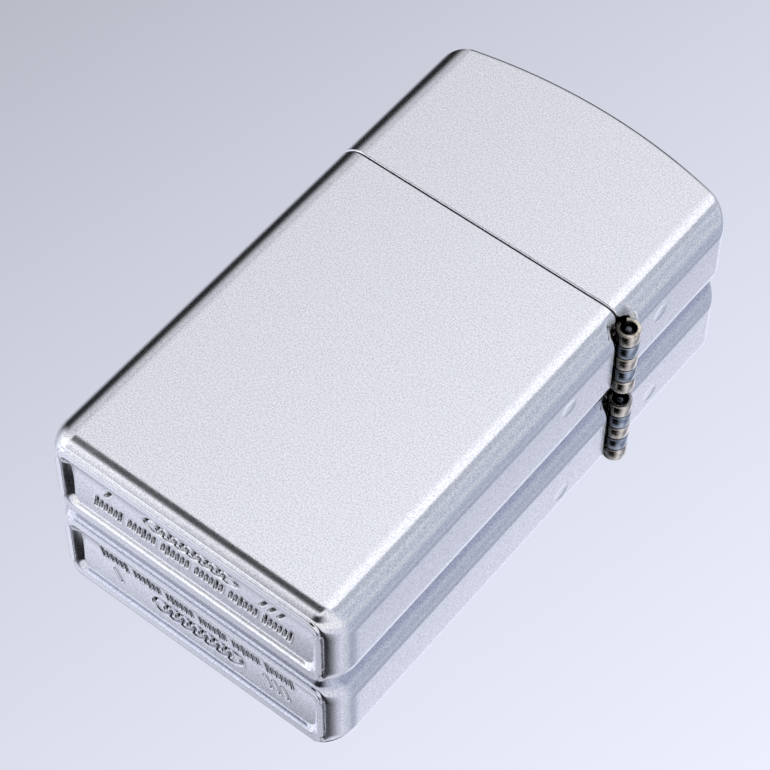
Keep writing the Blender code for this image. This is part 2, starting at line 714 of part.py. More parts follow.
def make_flint_spring():
    """The coil between the flint screw and the plunger."""
    low = SCREW_TOP + SPRING_WIRE / 2 + FIT
    high = PLUNGER_TOP - PLUNGER_LENGTH - SPRING_WIRE / 2 - FIT
    radius = FLINT_DIAMETER / 2 - SPRING_WIRE / 2
    turns = max(2, round((high - low) / SPRING_PITCH))
    steps = 9 * turns
    curve = bpy.data.curves.new("flint_spring", "CURVE")
    curve.dimensions = "3D"
    curve.bevel_depth = SPRING_WIRE / 2
    curve.bevel_resolution = 2
    curve.use_fill_caps = True
    curve.materials.append(SPRING_STEEL)
    spline = curve.splines.new("POLY")
    spline.points.add(steps)
    for i, point in enumerate(spline.points):
        angle = 2 * math.pi * turns * i / steps
        height = at(low + (high - low) * i / steps)
        across, deep = radius * math.cos(angle), radius * math.sin(angle)
        point.co = (WHEEL_X + across, height, MID_Z + deep, 1.0)
    part = bpy.data.objects.new("flint_spring", curve)
    PARTS.objects.link(part)
    return part


def make_flint_screw():
    """The slotted screw that closes the tube and carries the spring."""
    head, thread = SCREW_HEAD_DIAMETER / 2, TUBE_BORE - RUNNING_FIT
    head_top = TUBE_BASE - FIT
    under = head_top - SCREW_HEAD
    profile = [(0.0, at(SCREW_TOP)), (thread - FIT, at(SCREW_TOP)), (thread, at(SCREW_TOP - FIT))]
    profile += [(thread, at(head_top)), (head, at(head_top)), (head, at(under + FIT))]
    profile += [(head - FIT, at(under)), (0.0, at(under))]
    part = turned("flint_screw", profile, 1, (WHEEL_X, 0.0, MID_Z), TUBE_BRASS)
    low = (WHEEL_X - SLOT / 2, at(under) - WALL, MID_Z - 2 * head)
    high = (WHEEL_X + SLOT / 2, at(under) + SLOT, MID_Z + 2 * head)
    slot = part.modifiers.new("slot", "BOOLEAN")
    slot.operation = "DIFFERENCE"
    slot.solver = "EXACT"
    slot.object = guide("flint_screw_slot", box((low, high)))
    return part


def wad_height(index):
    """The height of one wad's centre, counted from the bottom."""
    low = TUBE_BASE + WAD_GAP
    return low + (index + 0.5) * wad_pitch()


def wad_pitch():
    """The distance between the wads' centres along the insert."""
    return (DECK_UNDER - CAM_SPRING_DROP - 3 * WAD_GAP - TUBE_BASE) / WADS


def wick_x(height):
    """The wick's X: it swings round the wads, and settles in the windscreen's middle."""
    pitch = wad_pitch()
    first, last = wad_height(0), wad_height(WADS - 1)
    if height < first:
        return SCREEN_X + WICK_SWING
    if height < last:
        return SCREEN_X + WICK_SWING * math.cos(math.pi * (height - first) / pitch)
    sign = 1 if WADS % 2 else -1
    settle = min(1.0, (height - last) / (0.8 * pitch))
    return SCREEN_X + sign * WICK_SWING * (0.5 + 0.5 * math.cos(math.pi * settle))


def make_wick():
    """The wick, woven between the wads and up into the windscreen."""
    low = wad_height(0) - wad_pitch() / 3
    high = SCREEN_TOP - WICK_SHORT_OF_TOP
    steps = 44
    curve = bpy.data.curves.new("wick", "CURVE")
    curve.dimensions = "3D"
    curve.bevel_depth = WICK
    curve.bevel_resolution = 4
    curve.use_fill_caps = True
    curve.materials.append(WICK_COTTON)
    spline = curve.splines.new("POLY")
    spline.points.add(steps)
    for i, point in enumerate(spline.points):
        height = low + (high - low) * i / steps
        point.co = (wick_x(height), at(height), MID_Z, 1.0)
    part = bpy.data.objects.new("wick", curve)
    PARTS.objects.link(part)
    return part


def make_wads():
    """The cotton wads, by turns on the tube's side and on the cam spring's side."""
    tube_side = WHEEL_X + TUBE + WAD_GAP
    leaf_side = INSERT_RIGHT - INSERT_WALL - FIT - CAM_SPRING - RIVET_HEAD - 2 * WAD_GAP
    deep = MID_Z - INSERT_BACK - INSERT_WALL - WAD_GAP
    parts = []
    for index in range(WADS):
        if index % 2 == 0:
            left, right = tube_side, SCREEN_X + WICK_SWING - WICK - WAD_GAP
        else:
            left, right = SCREEN_X - WICK_SWING + WICK + WAD_GAP, leaf_side
        centre = ((left + right) / 2, at(wad_height(index)), MID_Z)
        size = ((right - left) / 2, wad_pitch() / 2 - WAD_GAP, deep)
        bm = bmesh.new()
        matrix = Matrix.LocRotScale(centre, None, size)
        bmesh.ops.create_uvsphere(bm, u_segments=20, v_segments=10, radius=1.0, matrix=matrix)
        parts.append(place(f"cotton_wad_{index + 1}", to_mesh(bm), WAD_COTTON))
    return parts


def make_felt_pad():
    """The felt that closes the insert's open end, with a hole for the flint screw."""
    inset = INSERT_WALL + FIT
    low = (INSERT_LEFT + inset, at(FELT_BASE), INSERT_BACK + inset)
    high = (INSERT_RIGHT - inset, at(FELT_BASE + FELT), INSERT_FRONT - inset)
    part = place("felt_pad", rounded_box(low, high, INSERT_RADIUS - inset), GREY_FELT)
    ends = at(FELT_BASE - WALL), at(FELT_BASE + FELT + WALL)
    cut(part, rod(1, (WHEEL_X, 0.0, MID_Z), *ends, SCREW_HEAD_DIAMETER / 2 + 2 * FIT), "screw_hole")
    return part


def build():
    """Makes every piece, and hangs the moving ones on their axes."""
    make_case_body()
    lid = make_case_lid()
    make_hinge_leaf("hinge_leaf_case", -1, range(0, KNUCKLES, 2))
    lid_leaf = make_hinge_leaf("hinge_leaf_lid", 1, range(1, KNUCKLES, 2))
    make_hinge_pin()
    make_insert_shell()
    make_windscreen()
    wheel = make_flint_wheel()
    ear_back, ear_front = SCREEN_BACK + EAR_STEP, SCREEN_FRONT - EAR_STEP
    make_rivet("wheel_rivet", 2, (WHEEL_X, at(WHEEL_Y), 0.0), ear_back, ear_front, WHEEL_RIVET)
    cam = make_cam_lever()
    cam_side = CAM_THICKNESS / 2 + FIT + EAR
    cam_ends = MID_Z - cam_side, MID_Z + cam_side
    make_rivet("cam_rivet", 2, (CAM_X, at(CAM_Y), 0.0), *cam_ends, CAM_RIVET)
    make_cam_spring()
    make_spring_rivet()
    make_flint_tube()
    flint = make_flint()
    plunger = make_flint_plunger()
    make_flint_spring()
    screw = make_flint_screw()
    make_wick()
    make_wads()
    make_felt_pad()
    hang(pivot("lid_hinge_axis", (HINGE_X, at(SEAM), MID_Z)), lid, lid_leaf)
    hang(pivot("wheel_axis", (WHEEL_X, at(WHEEL_Y), MID_Z)), wheel)
    hang(pivot("cam_axis", (CAM_X, at(CAM_Y), MID_Z)), cam)
    hang(pivot("flint_axis", (WHEEL_X, at(FLINT_TOP), MID_Z)), flint, plunger)
    hang(pivot("flint_screw_axis", (WHEEL_X, at(TUBE_BASE), MID_Z)), screw)


build()
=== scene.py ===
import math

import bpy
import numpy as np
from mathutils import Matrix, Vector


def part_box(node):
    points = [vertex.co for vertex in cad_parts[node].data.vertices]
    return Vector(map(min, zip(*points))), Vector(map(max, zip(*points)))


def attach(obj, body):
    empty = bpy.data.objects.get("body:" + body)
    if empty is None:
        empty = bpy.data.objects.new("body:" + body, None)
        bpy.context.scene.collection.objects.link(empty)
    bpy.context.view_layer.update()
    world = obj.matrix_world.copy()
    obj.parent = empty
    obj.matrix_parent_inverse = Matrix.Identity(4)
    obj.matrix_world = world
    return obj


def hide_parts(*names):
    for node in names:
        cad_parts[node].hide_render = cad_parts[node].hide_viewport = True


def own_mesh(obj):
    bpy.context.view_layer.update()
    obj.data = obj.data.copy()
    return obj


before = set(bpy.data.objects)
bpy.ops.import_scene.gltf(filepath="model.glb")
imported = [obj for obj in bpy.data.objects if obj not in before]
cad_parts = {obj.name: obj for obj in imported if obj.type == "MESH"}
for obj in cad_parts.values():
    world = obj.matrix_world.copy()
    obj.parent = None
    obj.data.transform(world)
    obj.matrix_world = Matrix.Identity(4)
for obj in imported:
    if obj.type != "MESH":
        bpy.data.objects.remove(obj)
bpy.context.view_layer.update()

MM = 0.001


# ---------------------------------------------------------------- camera

def aim_camera(azimuth, elevation, roll, target, distance, focal_ratio):
    """A camera on a sphere of radius distance round target, azimuth turning from -Y
    towards +X and elevation rising from the floor, rolled about its own line of sight. The
    angles are in radians, and focal_ratio is the focal length over half the sensor's width."""
    back = Vector((math.sin(azimuth) * math.cos(elevation),
                   -math.cos(azimuth) * math.cos(elevation),
                   math.sin(elevation)))
    level = Vector((math.cos(azimuth), math.sin(azimuth), 0.0))
    up = back.cross(level)
    right = math.cos(roll) * level + math.sin(roll) * up
    top = -math.sin(roll) * level + math.cos(roll) * up
    turn = Matrix((right, top, back)).transposed().to_4x4()
    camera = bpy.data.cameras.new("camera")
    camera.sensor_width = 36.0
    camera.lens = camera.sensor_width / 2 * focal_ratio
    camera.clip_start = 0.01
    camera.clip_end = 20.0
    seen_from = bpy.data.objects.new("camera", camera)
    seen_from.matrix_world = Matrix.Translation(target + back * distance) @ turn
    bpy.context.scene.collection.objects.link(seen_from)
    bpy.context.scene.camera = seen_from


aim_camera(azimuth=0.6660953, elevation=0.9611199, roll=0.0079326,
           target=Vector((1.4209, -4.1348, 5.0)) * MM, distance=242.549 * MM, focal_ratio=7.7132298)


# ---------------------------------------------------------------- mesh makers

def to_object(name, points, faces):
    """A smooth mesh from points in millimetres. Faces that turn the volume inside out
    are all turned round."""
    points = np.asarray(points, float)
    triangles = np.array([(f[0], f[i], f[i + 1]) for f in faces for i in range(1, len(f) - 1)])
    a, b, c = (points[triangles[:, i]] for i in range(3))
    if np.einsum("ij,ij->i", a, np.cross(b, c)).sum() < 0:
        faces = [f[::-1] for f in faces]
    mesh = bpy.data.meshes.new(name)
    mesh.from_pydata((points * MM).tolist(), [], faces)
    mesh.polygons.foreach_set("use_smooth", np.ones(len(mesh.polygons), bool))
    mesh.validate()
    thing = bpy.data.objects.new(name, mesh)
    bpy.context.scene.collection.objects.link(thing)
    return thing


def band_faces(first, second):
    """Quads between two closed rings of point numbers, with the edges of first reversed."""
    return np.stack([np.roll(first, -1), first, second, np.roll(second, -1)], 1).tolist()


def halving_faces(fine, coarse):
    """Triangles between a closed ring and one with half as many points."""
    start, middle, end = fine[0::2], fine[1::2], np.roll(fine[0::2], -1)
    following = np.roll(coarse, -1)
    parts = [(middle, start, coarse), (middle, coarse, following), (end, middle, following)]
    return np.concatenate([np.stack(p, 1) for p in parts]).tolist()


def smooth_step(t):
    """0 below 0, 1 above 1, and 3t^2 - 2t^3 between."""
    t = np.clip(t, 0.0, 1.0)
    return t * t * (3.0 - 2.0 * t)


def rounded_square(count_x, count_z, share_x, share_z):
    """A square of count_x by count_z cells mapped to a rounded rectangle. Each grid point
    gets a core, its place in the straight middle from -1 to 1, and an offset inside the
    corner circles: for corner coordinates a and b it is a * sqrt(1 - b^2 / 2) and
    b * sqrt(1 - a^2 / 2), which bends a square corner into a round one."""
    u, v = np.meshgrid(np.linspace(-1, 1, count_x + 1), np.linspace(-1, 1, count_z + 1))
    core = np.stack([np.clip(u / share_x, -1, 1), np.clip(v / share_z, -1, 1)], -1)
    a = np.sign(u) * np.maximum(np.abs(u) - share_x, 0) / (1 - share_x)
    b = np.sign(v) * np.maximum(np.abs(v) - share_z, 0) / (1 - share_z)
    offset = np.stack([a * np.sqrt(1 - b * b / 2), b * np.sqrt(1 - a * a / 2)], -1)
    return core, offset


def border_of(grid):
    """The points round a grid's edge as one loop: along its first row, up its last column,
    back along its last row and down its first column."""
    return np.concatenate([grid[0, :-1], grid[:-1, -1], grid[-1, :0:-1], grid[:0:-1, 0]])


def sheet_faces(numbers):
    """Quads over a grid of point numbers."""
    quads = [numbers[:-1, :-1], numbers[:-1, 1:], numbers[1:, 1:], numbers[1:, :-1]]
    return np.stack(quads, -1).reshape(-1, 4).tolist()


class Skin:
    """Points and faces gathered ring by ring into one closed surface."""

    def __init__(self):
        self.points = []
        self.faces = []
        self.count = 0

    def add(self, points):
        """Adds points and returns their numbers, in the same arrangement."""
        points = np.asarray(points, float)
        numbers = np.arange(self.count, self.count + points[..., 0].size)
        self.points.append(points.reshape(-1, 3))
        self.count += numbers.size
        return numbers.reshape(points.shape[:-1])

    def rings(self, last, rings):
        """Joins closed rings one after another on to the ring last, and returns the last of
        them. A ring has as many points as the one before it, or half as many."""
        for ring in rings:
            numbers = self.add(ring)
            halved = len(numbers) * 2 == len(last)
            self.faces += halving_faces(last, numbers) if halved else band_faces(last, numbers)
            last = numbers
        return last

    def close(self, last, centre):
        """A fan from the ring last to one point."""
        middle = self.add(np.array([centre]))[0]
        self.faces += np.stack([np.roll(last, -1), last, np.full(len(last), middle)], 1).tolist()

    def build(self, name):
        """Makes the object."""
        return to_object(name, np.concatenate(self.points), self.faces)


def tube_skin(name, parts):
    """Closed tubes in one mesh. Each part is an array of rings, (rings, points, 3), whose
    two ends are closed by fans to their own middles."""
    skin = Skin()
    for part in parts:
        first = skin.add(part[0])
        middle = skin.add(part[0].mean(0)[None])[0]
        skin.faces += np.stack([first, np.roll(first, -1), np.full(len(first), middle)], 1).tolist()
        last = skin.rings(first, part[1:])
        skin.close(last, part[-1].mean(0))
    return skin.build(name)


# ---------------------------------------------------------------- sizes in millimetres

def in_mm(node):
    """A CAD node's box as two arrays in millimetres."""
    return tuple(np.array(corner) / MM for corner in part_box(node))


CASE_LOW, CASE_HIGH = in_mm("case_body")
LID_LOW, LID_HIGH = in_mm("case_lid")
HALF = np.array([CASE_HIGH[0] - CASE_LOW[0], CASE_HIGH[2] - CASE_LOW[2]]) / 2
MIDDLE_Z = (CASE_HIGH[2] + CASE_LOW[2]) / 2
FOOT_Y = CASE_LOW[1]
CREST_Y = LID_HIGH[1]
SEAM_Y = (CASE_HIGH[1] + LID_LOW[1]) / 2
WALL = 0.5
LONG_EDGE = 2.58
CROWN = 52.0
PIN_LOW, PIN_HIGH = in_mm("hinge_pin")
PIN = (PIN_LOW + PIN_HIGH) / 2
KNUCKLE = 1.64
KNUCKLE_GAP = 0.16
BARREL_HALF = 2.5 * KNUCKLE
BARREL_RADIUS = 1.05


# ---------------------------------------------------------------- the two shells

def bead(x, z, centre, length, lean, width):
    """Distance from a stroke with round ends, negative inside: the distance to its middle
    line less half its width."""
    way = np.array([math.sin(lean), math.cos(lean)]) * length / 2
    along = ((x - centre[0]) * way[0] + (z - centre[1]) * way[1]) / (way @ way)
    along = np.clip(along, -1, 1)
    return np.hypot(x - centre[0] - along * way[0], z - centre[1] - along * way[1]) - width / 2


def link(x, z, centre, size, width):
    """Distance from an oval line, negative inside: |r - 1| times the smaller half size,
    where r is the radius in the oval's own units, less half the line's width."""
    r = np.hypot((x - centre[0]) / size[0], (z - centre[1]) / size[1])
    return np.abs(r - 1) * min(size) - width / 2


STROKE_ROW = 3.85
CHAIN_ROW = 6.05
PRESSED_DEPTH = 0.27


def stamping(x, z):
    """The pressed ornament on the end panel, a chain of interlocked links between slanted
    bars, over a row of graduation strokes: its height, pressed down with a slightly raised
    lip, and a share that is 1 in the strokes."""
    strokes = [bead(x, z, (0.5 * i, STROKE_ROW), 1.0 if i % 5 else 1.35, 0.15, 0.27)
               for i in range(-21, 22) if i % 7]
    strokes += [link(x, z, (1.25 * i, CHAIN_ROW), (0.95, 0.8), 0.26) for i in range(-3, 4)]
    strokes += [bead(x, z, (bar, CHAIN_ROW), 1.3, 0.5, 0.32) for bar in (-8.6, 7.4, 8.3, 9.2)]
    nearest = np.min(strokes, 0)
    pressed = 1 - smooth_step((nearest + 0.1) / 0.14)
    lip = 0.03 * np.exp(-((nearest - 0.1) / 0.06) ** 2)
    return lip - PRESSED_DEPTH * pressed, pressed


def plan(core, offset, half, radius):
    """X and Z of a rounded rectangle's points: core * (half - radius) + offset * radius."""
    radius = np.asarray(radius, float)[..., None]
    return core * (np.asarray(half) - radius) + offset * radius


def ring_at(flat, y):
    """Rings from X and Z about the middle plane, and heights along Y."""
    y = np.broadcast_to(y, flat.shape[:-1])
    return np.stack([flat[..., 0], y, flat[..., 1] + MIDDLE_Z], -1)


def notch_and_lip(flat, y):
    """How far a wall point has to stand back for the hinge barrel. The notch is 1 beside the
    barrel and falls to 0 at 0.35 mm past its ends, and the lead dies away beyond it by an
    exponential. The lip is 0.9 at the barrel's outline and falls to 0 at 0.67 mm from it, the
    last part steeply, by the distance to its rectangle."""
    side = smooth_step((flat[..., 0] - 12.6) / 0.9)
    past = np.maximum(np.abs(flat[..., 1]) - BARREL_HALF, 0)
    notch = side * (1 - smooth_step((past + 0.05) / 0.4))
    lead = side * np.exp(-past / 0.5) * (1 - notch)
    across = np.maximum(np.abs(y - SEAM_Y) - BARREL_RADIUS, 0)
    away = np.hypot(past, across)
    lip = side * (0.9 - 0.5 * smooth_step(away / 0.6) - 0.4 * smooth_step((away - 0.45) / 0.22))
    return notch, lead, lip


def weld_mark(y, z, centre, on_side):
    """Depth of a spot weld's round dent, flat inside and steep at its edge."""
    away = np.hypot(y - centre[0], z - centre[1])
    return on_side * 0.022 * (1 - smooth_step((away - 0.55) / 0.25))


def wall_rings(core, offset, start_y, edge_y, steps, weld):
    """Rings up a wall from start_y to the rim edge_y, at the given shares of the way. The rim
    stands back beside the hinge barrel, the wall is pressed in round it, and the leaf's spot
    weld leaves a dent."""
    flat = plan(core, offset, HALF, np.full(len(core), LONG_EDGE))
    notch, lead, lip = notch_and_lip(flat, edge_y)
    away = 1.0 if edge_y < SEAM_Y else -1.0
    rim = edge_y - away * (1.1 * notch + 0.12 * lead)
    rings = []
    for share in steps:
        y = start_y + (rim - start_y) * share
        inwards = 0.4 * notch_and_lip(flat, y)[2]
        inwards = inwards + weld_mark(y, flat[:, 1], weld, smooth_step((flat[:, 0] - 14.5) / 0.4))
        rings.append(ring_at(flat - offset * inwards[:, None], y))
    return rings, flat - offset * inwards[:, None], rim


def rim_rings(flat, offset, rim, towards, back_to):
    """Rings over a wall's edge and down its inner face: a quarter round, a flat, a quarter
    round, then the inside to the level back_to."""
    round_edge = 0.12
    bends = [(degrees, 0.0, 1) for degrees in (30, 60, 90)]
    bends += [(degrees, WALL, -1) for degrees in (90, 60, 30, 0)]
    rings = []
    for degrees, face, way in bends:
        inset = face + way * round_edge * (1 - math.cos(math.radians(degrees)))
        rise = round_edge * (math.sin(math.radians(degrees)) - 1)
        rings.append(ring_at(flat - offset * inset, rim + towards * rise))
    for share in (0.03, 0.08, 0.2, 0.4, 0.6, 0.8, 1.0):
        rings.append(ring_at(flat - offset * WALL, rim + (back_to - rim) * share))
    return rings


def steps_between(stops):
    """Shares of a wall's height, from (share, number of rings up to it) pairs."""
    shares, low = [], 0.0
    for high, count in stops:
        shares += list(low + (high - low) * np.arange(1, count + 1) / count)
        low = high
    return shares


def paint_recess_shade(shell, first):
    """Stores a painted shade as a point attribute, which draws the chrome darker: as given
    over the first points, and in the pressed border round the hinge barrel."""
    spots = np.zeros(3 * len(shell.data.vertices), np.float32)
    shell.data.vertices.foreach_get("co", spots)
    spots = spots.reshape(-1, 3) / MM
    lip = notch_and_lip(np.stack([spots[:, 0], spots[:, 2] - MIDDLE_Z], 1), spots[:, 1])[2]
    recess_shade = 0.7 * lip
    recess_shade[:len(first)] = first
    made = shell.data.attributes.new("recess_shade", "FLOAT", "POINT")
    made.data.foreach_set("value", recess_shade.astype(np.float32))


PANEL_BORDER = np.array([2.6, 2.1])
PANEL_SINK = 0.4
FLOOR_TOP = 0.95
FLOOR_ROUND = 0.45


def make_case():
    """The lower shell as one closed skin. Its sunk end panel is a grid; rings carry on from
    the grid's edge over the panel's slope, the rim's crest and the round bottom edge, up the
    walls, over the seam's edge and down the inside. The bottom edge is a quarter ellipse
    that goes 1 + 1.3 * (x part of the wall's normal)^2 mm in from the wall and 1.9 to 1.2
    times as far along it, so that the corners in plan are rounder."""
    skin = Skin()
    core, offset = rounded_square(320, 96, 0.86, 0.7)
    panel = plan(core, offset, HALF - PANEL_BORDER, np.full(core.shape[:2], 0.9))
    dish = 0.2 * (1 - (panel[..., 1] / (HALF[1] - PANEL_BORDER[1])) ** 2)
    floor = ring_at(panel, FOOT_Y + PANEL_SINK + dish)
    height, pressed = stamping(floor[..., 0], floor[..., 2])
    floor[..., 1] -= height
    numbers = skin.add(floor)
    skin.faces += sheet_faces(numbers)
    last = border_of(numbers)
    core, offset = border_of(core), border_of(offset)

    rings = []
    dish = border_of(dish)
    for t in np.linspace(0, 1, 11):
        inset = PANEL_BORDER - 0.05 - t * np.array([1.2, 0.42])
        flat = plan(core, offset, HALF - inset, np.full(len(core), 0.92 + 0.5 * t))
        rings.append(ring_at(flat, FOOT_Y + (0.9 * PANEL_SINK + dish * (1 - t)) * (1 - t) ** 1.8))
    slope_end = flat
    full = plan(core, offset, HALF, np.full(len(core), LONG_EDGE))
    radius = 1.0 + 1.3 * offset[:, 0] ** 2
    length = radius * (1.9 - 0.7 * offset[:, 0] ** 2)
    turns = np.radians(np.concatenate([np.linspace(9, 30, 11), np.linspace(34, 90, 12)]))

    def crest(angle):
        """How far the rim's crest stands out, gone by 36 degrees of the bottom edge."""
        return -0.05 * (1 - smooth_step((math.degrees(angle) - 6) / 30))

    first = full - offset * (radius * (1 - math.sin(turns[0])))[:, None]
    first_y = FOOT_Y + length * (1 - math.cos(turns[0])) + crest(turns[0])
    for t in (0.12, 0.4, 0.7, 0.88):
        flat = slope_end + (first - slope_end) * t
        rings.append(ring_at(flat, FOOT_Y + (first_y - FOOT_Y) * smooth_step(t)))
    for angle in turns:
        inset = radius * (1 - math.sin(angle))
        groove = 0.1 * math.exp(-((math.degrees(angle) - 19) / 6) ** 2)
        flat = full - offset * (inset + groove * math.sin(angle))[:, None]
        height = length * (1 - math.cos(angle)) + crest(angle) + groove
        rings.append(ring_at(flat, FOOT_Y + height))
    last = skin.rings(last, rings)

    core, offset = core[::2], offset[::2]
    start = FOOT_Y + length[::2]
    steps = steps_between([(0.01, 1), (0.75, 12), (0.86, 16), (0.93, 8), (0.97, 10), (0.998, 12)])
    rings, flat, rim = wall_rings(core, offset, start, CASE_HIGH[1], steps, (2.7, 6.2 - MIDDLE_Z))
    last = skin.rings(last, rings)
    wall_foot = FOOT_Y + FLOOR_TOP + FLOOR_ROUND
    last = skin.rings(last, rim_rings(flat, offset, rim, 1.0, wall_foot))
    inner = plan(core, offset, HALF, np.full(len(core), LONG_EDGE)) - offset * WALL
    for angle in np.radians([20, 45, 70, 90]):
        flat = inner - offset * FLOOR_ROUND * (1 - math.cos(angle))
        last = skin.rings(last, [ring_at(flat, wall_foot - FLOOR_ROUND * math.sin(angle))])
    skin.close(last, (0.0, FOOT_Y + FLOOR_TOP, MIDDLE_Z))
    made = skin.build("case_shell")
    # Painted shade in the end panel's pressed strokes and round the hinge barrel.
    paint_recess_shade(made, pressed.ravel())
    return made


ROOF_ROUND = 0.4


def crown(x, drop):
    """Height of the crowned top along X: the crest less the sagitta of a 52 mm arc and the
    given drop."""
    return CREST_Y - (CROWN - np.sqrt(CROWN ** 2 - x ** 2)) - drop


def make_lid():
    """The upper shell as one closed skin, from its crowned top over the round top edge and
    down the walls to the seam. The top edge's radius is 0.45 + 0.8 * (x part of the wall's
    normal)^2 mm."""
    skin = Skin()
    core, offset = rounded_square(160, 48, 0.86, 0.7)
    radius = 0.45 + 0.8 * offset[..., 0] ** 2
    full = plan(core, offset, HALF, np.full(core.shape[:2], LONG_EDGE))
    grid = full - offset * radius[..., None]
    numbers = skin.add(ring_at(grid, crown(grid[..., 0], 0.0)))
    skin.faces += sheet_faces(numbers)
    last = border_of(numbers)
    core, offset, radius = border_of(core), border_of(offset), border_of(radius)
    full = plan(core, offset, HALF, np.full(len(core), LONG_EDGE))
    rings = []
    for angle in np.radians(np.linspace(8, 90, 11)):
        flat = full - offset * (radius * (1 - math.sin(angle)))[:, None]
        rings.append(ring_at(flat, crown(flat[:, 0], radius * (1 - math.cos(angle)))))
    last = skin.rings(last, rings)
    start = rings[-1][:, 1]
    steps = steps_between([(0.01, 1), (0.45, 8), (0.75, 16), (0.9, 10), (0.995, 14)])
    rings, flat, rim = wall_rings(core, offset, start, LID_LOW[1], steps, (15.4, 5.8 - MIDDLE_Z))
    last = skin.rings(last, rings)
    wall_top = 22.0
    last = skin.rings(last, rim_rings(flat, offset, rim, -1.0, wall_top))
    inner = full - offset * WALL
    for angle in np.radians([0, 30, 60, 90]):
        flat = inner - offset * ROOF_ROUND * (1 - math.cos(angle))
        drop = WALL + ROOF_ROUND * (1 - math.sin(angle))
        last = skin.rings(last, [ring_at(flat, crown(inner[:, 0], drop))])
    roof = flat
    for share in (0.75, 0.5, 0.25):
        last = skin.rings(last, [ring_at(roof * share, crown(roof[:, 0] * share, WALL))])
    skin.close(last, (0.0, CREST_Y - WALL, MIDDLE_Z))
    made = skin.build("lid_shell")
    # Painted shade round the hinge barrel only.
    paint_recess_shade(made, np.zeros(0))
    return made


# ---------------------------------------------------------------- hinge

def ribbon(path, thickness, low, high, edge):
    """Rings of a sheet of metal whose middle line follows path in X and Y and which spans low
    to high along Z: at each point a rounded rectangle, thickness across the path's normal."""
    path = np.asarray(path, float)
    way = np.gradient(path, axis=0)
    way /= np.linalg.norm(way, axis=1)[:, None]
    normal = np.stack([-way[:, 1], way[:, 0]], 1)
    angle = np.radians(np.arange(0, 360, 15) + 7.5)
    corner = np.stack([np.sign(np.cos(angle)), np.sign(np.sin(angle))], 1)
    half = np.array([thickness / 2, (high - low) / 2])
    section = corner * (half - edge) + np.stack([np.cos(angle), np.sin(angle)], 1) * edge
    flat = path[:, None, :] + normal[:, None, :] * section[None, :, :1]
    z = np.broadcast_to((low + high) / 2 + section[None, :, 1:], flat.shape[:2] + (1,))
    return np.concatenate([flat, z], -1)


def turned_ring(profile, centre, sides):
    """Rings of a solid turned about a line along Z: profile gives (radius, z) from end to end."""
    turn = np.radians(np.arange(sides) * 360 / sides)
    radius, z = np.asarray(profile, float).T
    return np.stack([centre[0] + radius[:, None] * np.cos(turn),
                     centre[1] + radius[:, None] * np.sin(turn),
                     np.broadcast_to(z[:, None], (len(z), sides))], -1)


LEAF = 0.35
ROLL = BARREL_RADIUS - LEAF / 2
PLATE_SPAN = (2.28, 7.72)
FOOT_SPAN = (1.7, 8.3)


def knuckle_span(index):
    """Z range of one knuckle of the hinge barrel."""
    low = MIDDLE_Z - BARREL_HALF + KNUCKLE * index
    return low + KNUCKLE_GAP / 2, low + KNUCKLE - KNUCKLE_GAP / 2


def rolled(index, side):
    """One knuckle: its foot, kept clear of the shell's round edges, and a strip that rises
    from the foot and rolls round the pin."""
    low, high = knuckle_span(index)
    x = PIN[0] - ROLL
    foot = np.stack([np.full(6, x), PIN[1] - side * np.linspace(1.2, 0.3, 6)], 1)
    straight = np.stack([np.full(4, x), PIN[1] - side * np.linspace(0.4, 0.12, 4)], 1)
    turn = np.radians(180 - np.linspace(0, 318, 54))
    roll = np.stack([PIN[0] + ROLL * np.cos(turn), PIN[1] - side * ROLL * np.sin(turn)], 1)
    return [ribbon(foot, LEAF * 0.96, max(low, FOOT_SPAN[0]), min(high, FOOT_SPAN[1]), 0.05),
            ribbon(np.concatenate([straight, roll]), LEAF, low, high, 0.12)]


def make_leaf(name, side, knuckles):
    """A hinge leaf: the welded plate, its foot and its rolled knuckles. side is +1 for the
    leaf that reaches down into the case and -1 for the one in the lid."""
    x = PIN[0] - ROLL
    far = np.stack([np.full(12, x), PIN[1] - side * np.linspace(6.5, 1.1, 12)], 1)
    near = np.stack([np.full(4, x), PIN[1] - side * np.linspace(1.6, 1.15, 4)], 1)
    low, high = knuckle_span(knuckles[0])[0] + 0.5, knuckle_span(knuckles[-1])[1] - 0.5
    parts = [ribbon(far, LEAF, *PLATE_SPAN, 0.1), ribbon(near, LEAF * 0.96, low, high, 0.1)]
    for index in knuckles:
        parts += rolled(index, side)
    return tube_skin(name, parts)


def make_pin():
    """The hinge pin, its two ends drawn down to small domes: radii and depths from the tip."""
    ends = [(0.1, 0.0), (0.2, 0.015), (0.28, 0.06), (0.31, 0.14), (0.33, 0.3), (0.45, 0.42),
            (0.55, 0.5)]
    profile = [(radius, PIN_LOW[2] + depth) for radius, depth in ends]
    profile += [(0.55, PIN[2])]
    profile += [(radius, PIN_HIGH[2] - depth) for radius, depth in ends[::-1]]
    return tube_skin("pivot_pin", [turned_ring(profile, PIN, 40)])


# ---------------------------------------------------------------- soft pieces

WADS = 5
WICK_SWING = 1.6
SPRING_WIRE = 0.4
SPRING_PITCH = 2.0
WICK_LOW, WICK_HIGH = in_mm("wick")
WICK_SCORCH = (WICK_HIGH[1] - 3.2, WICK_HIGH[1] - 0.2)
CLEAR_OF_FLAME = (40, 50)


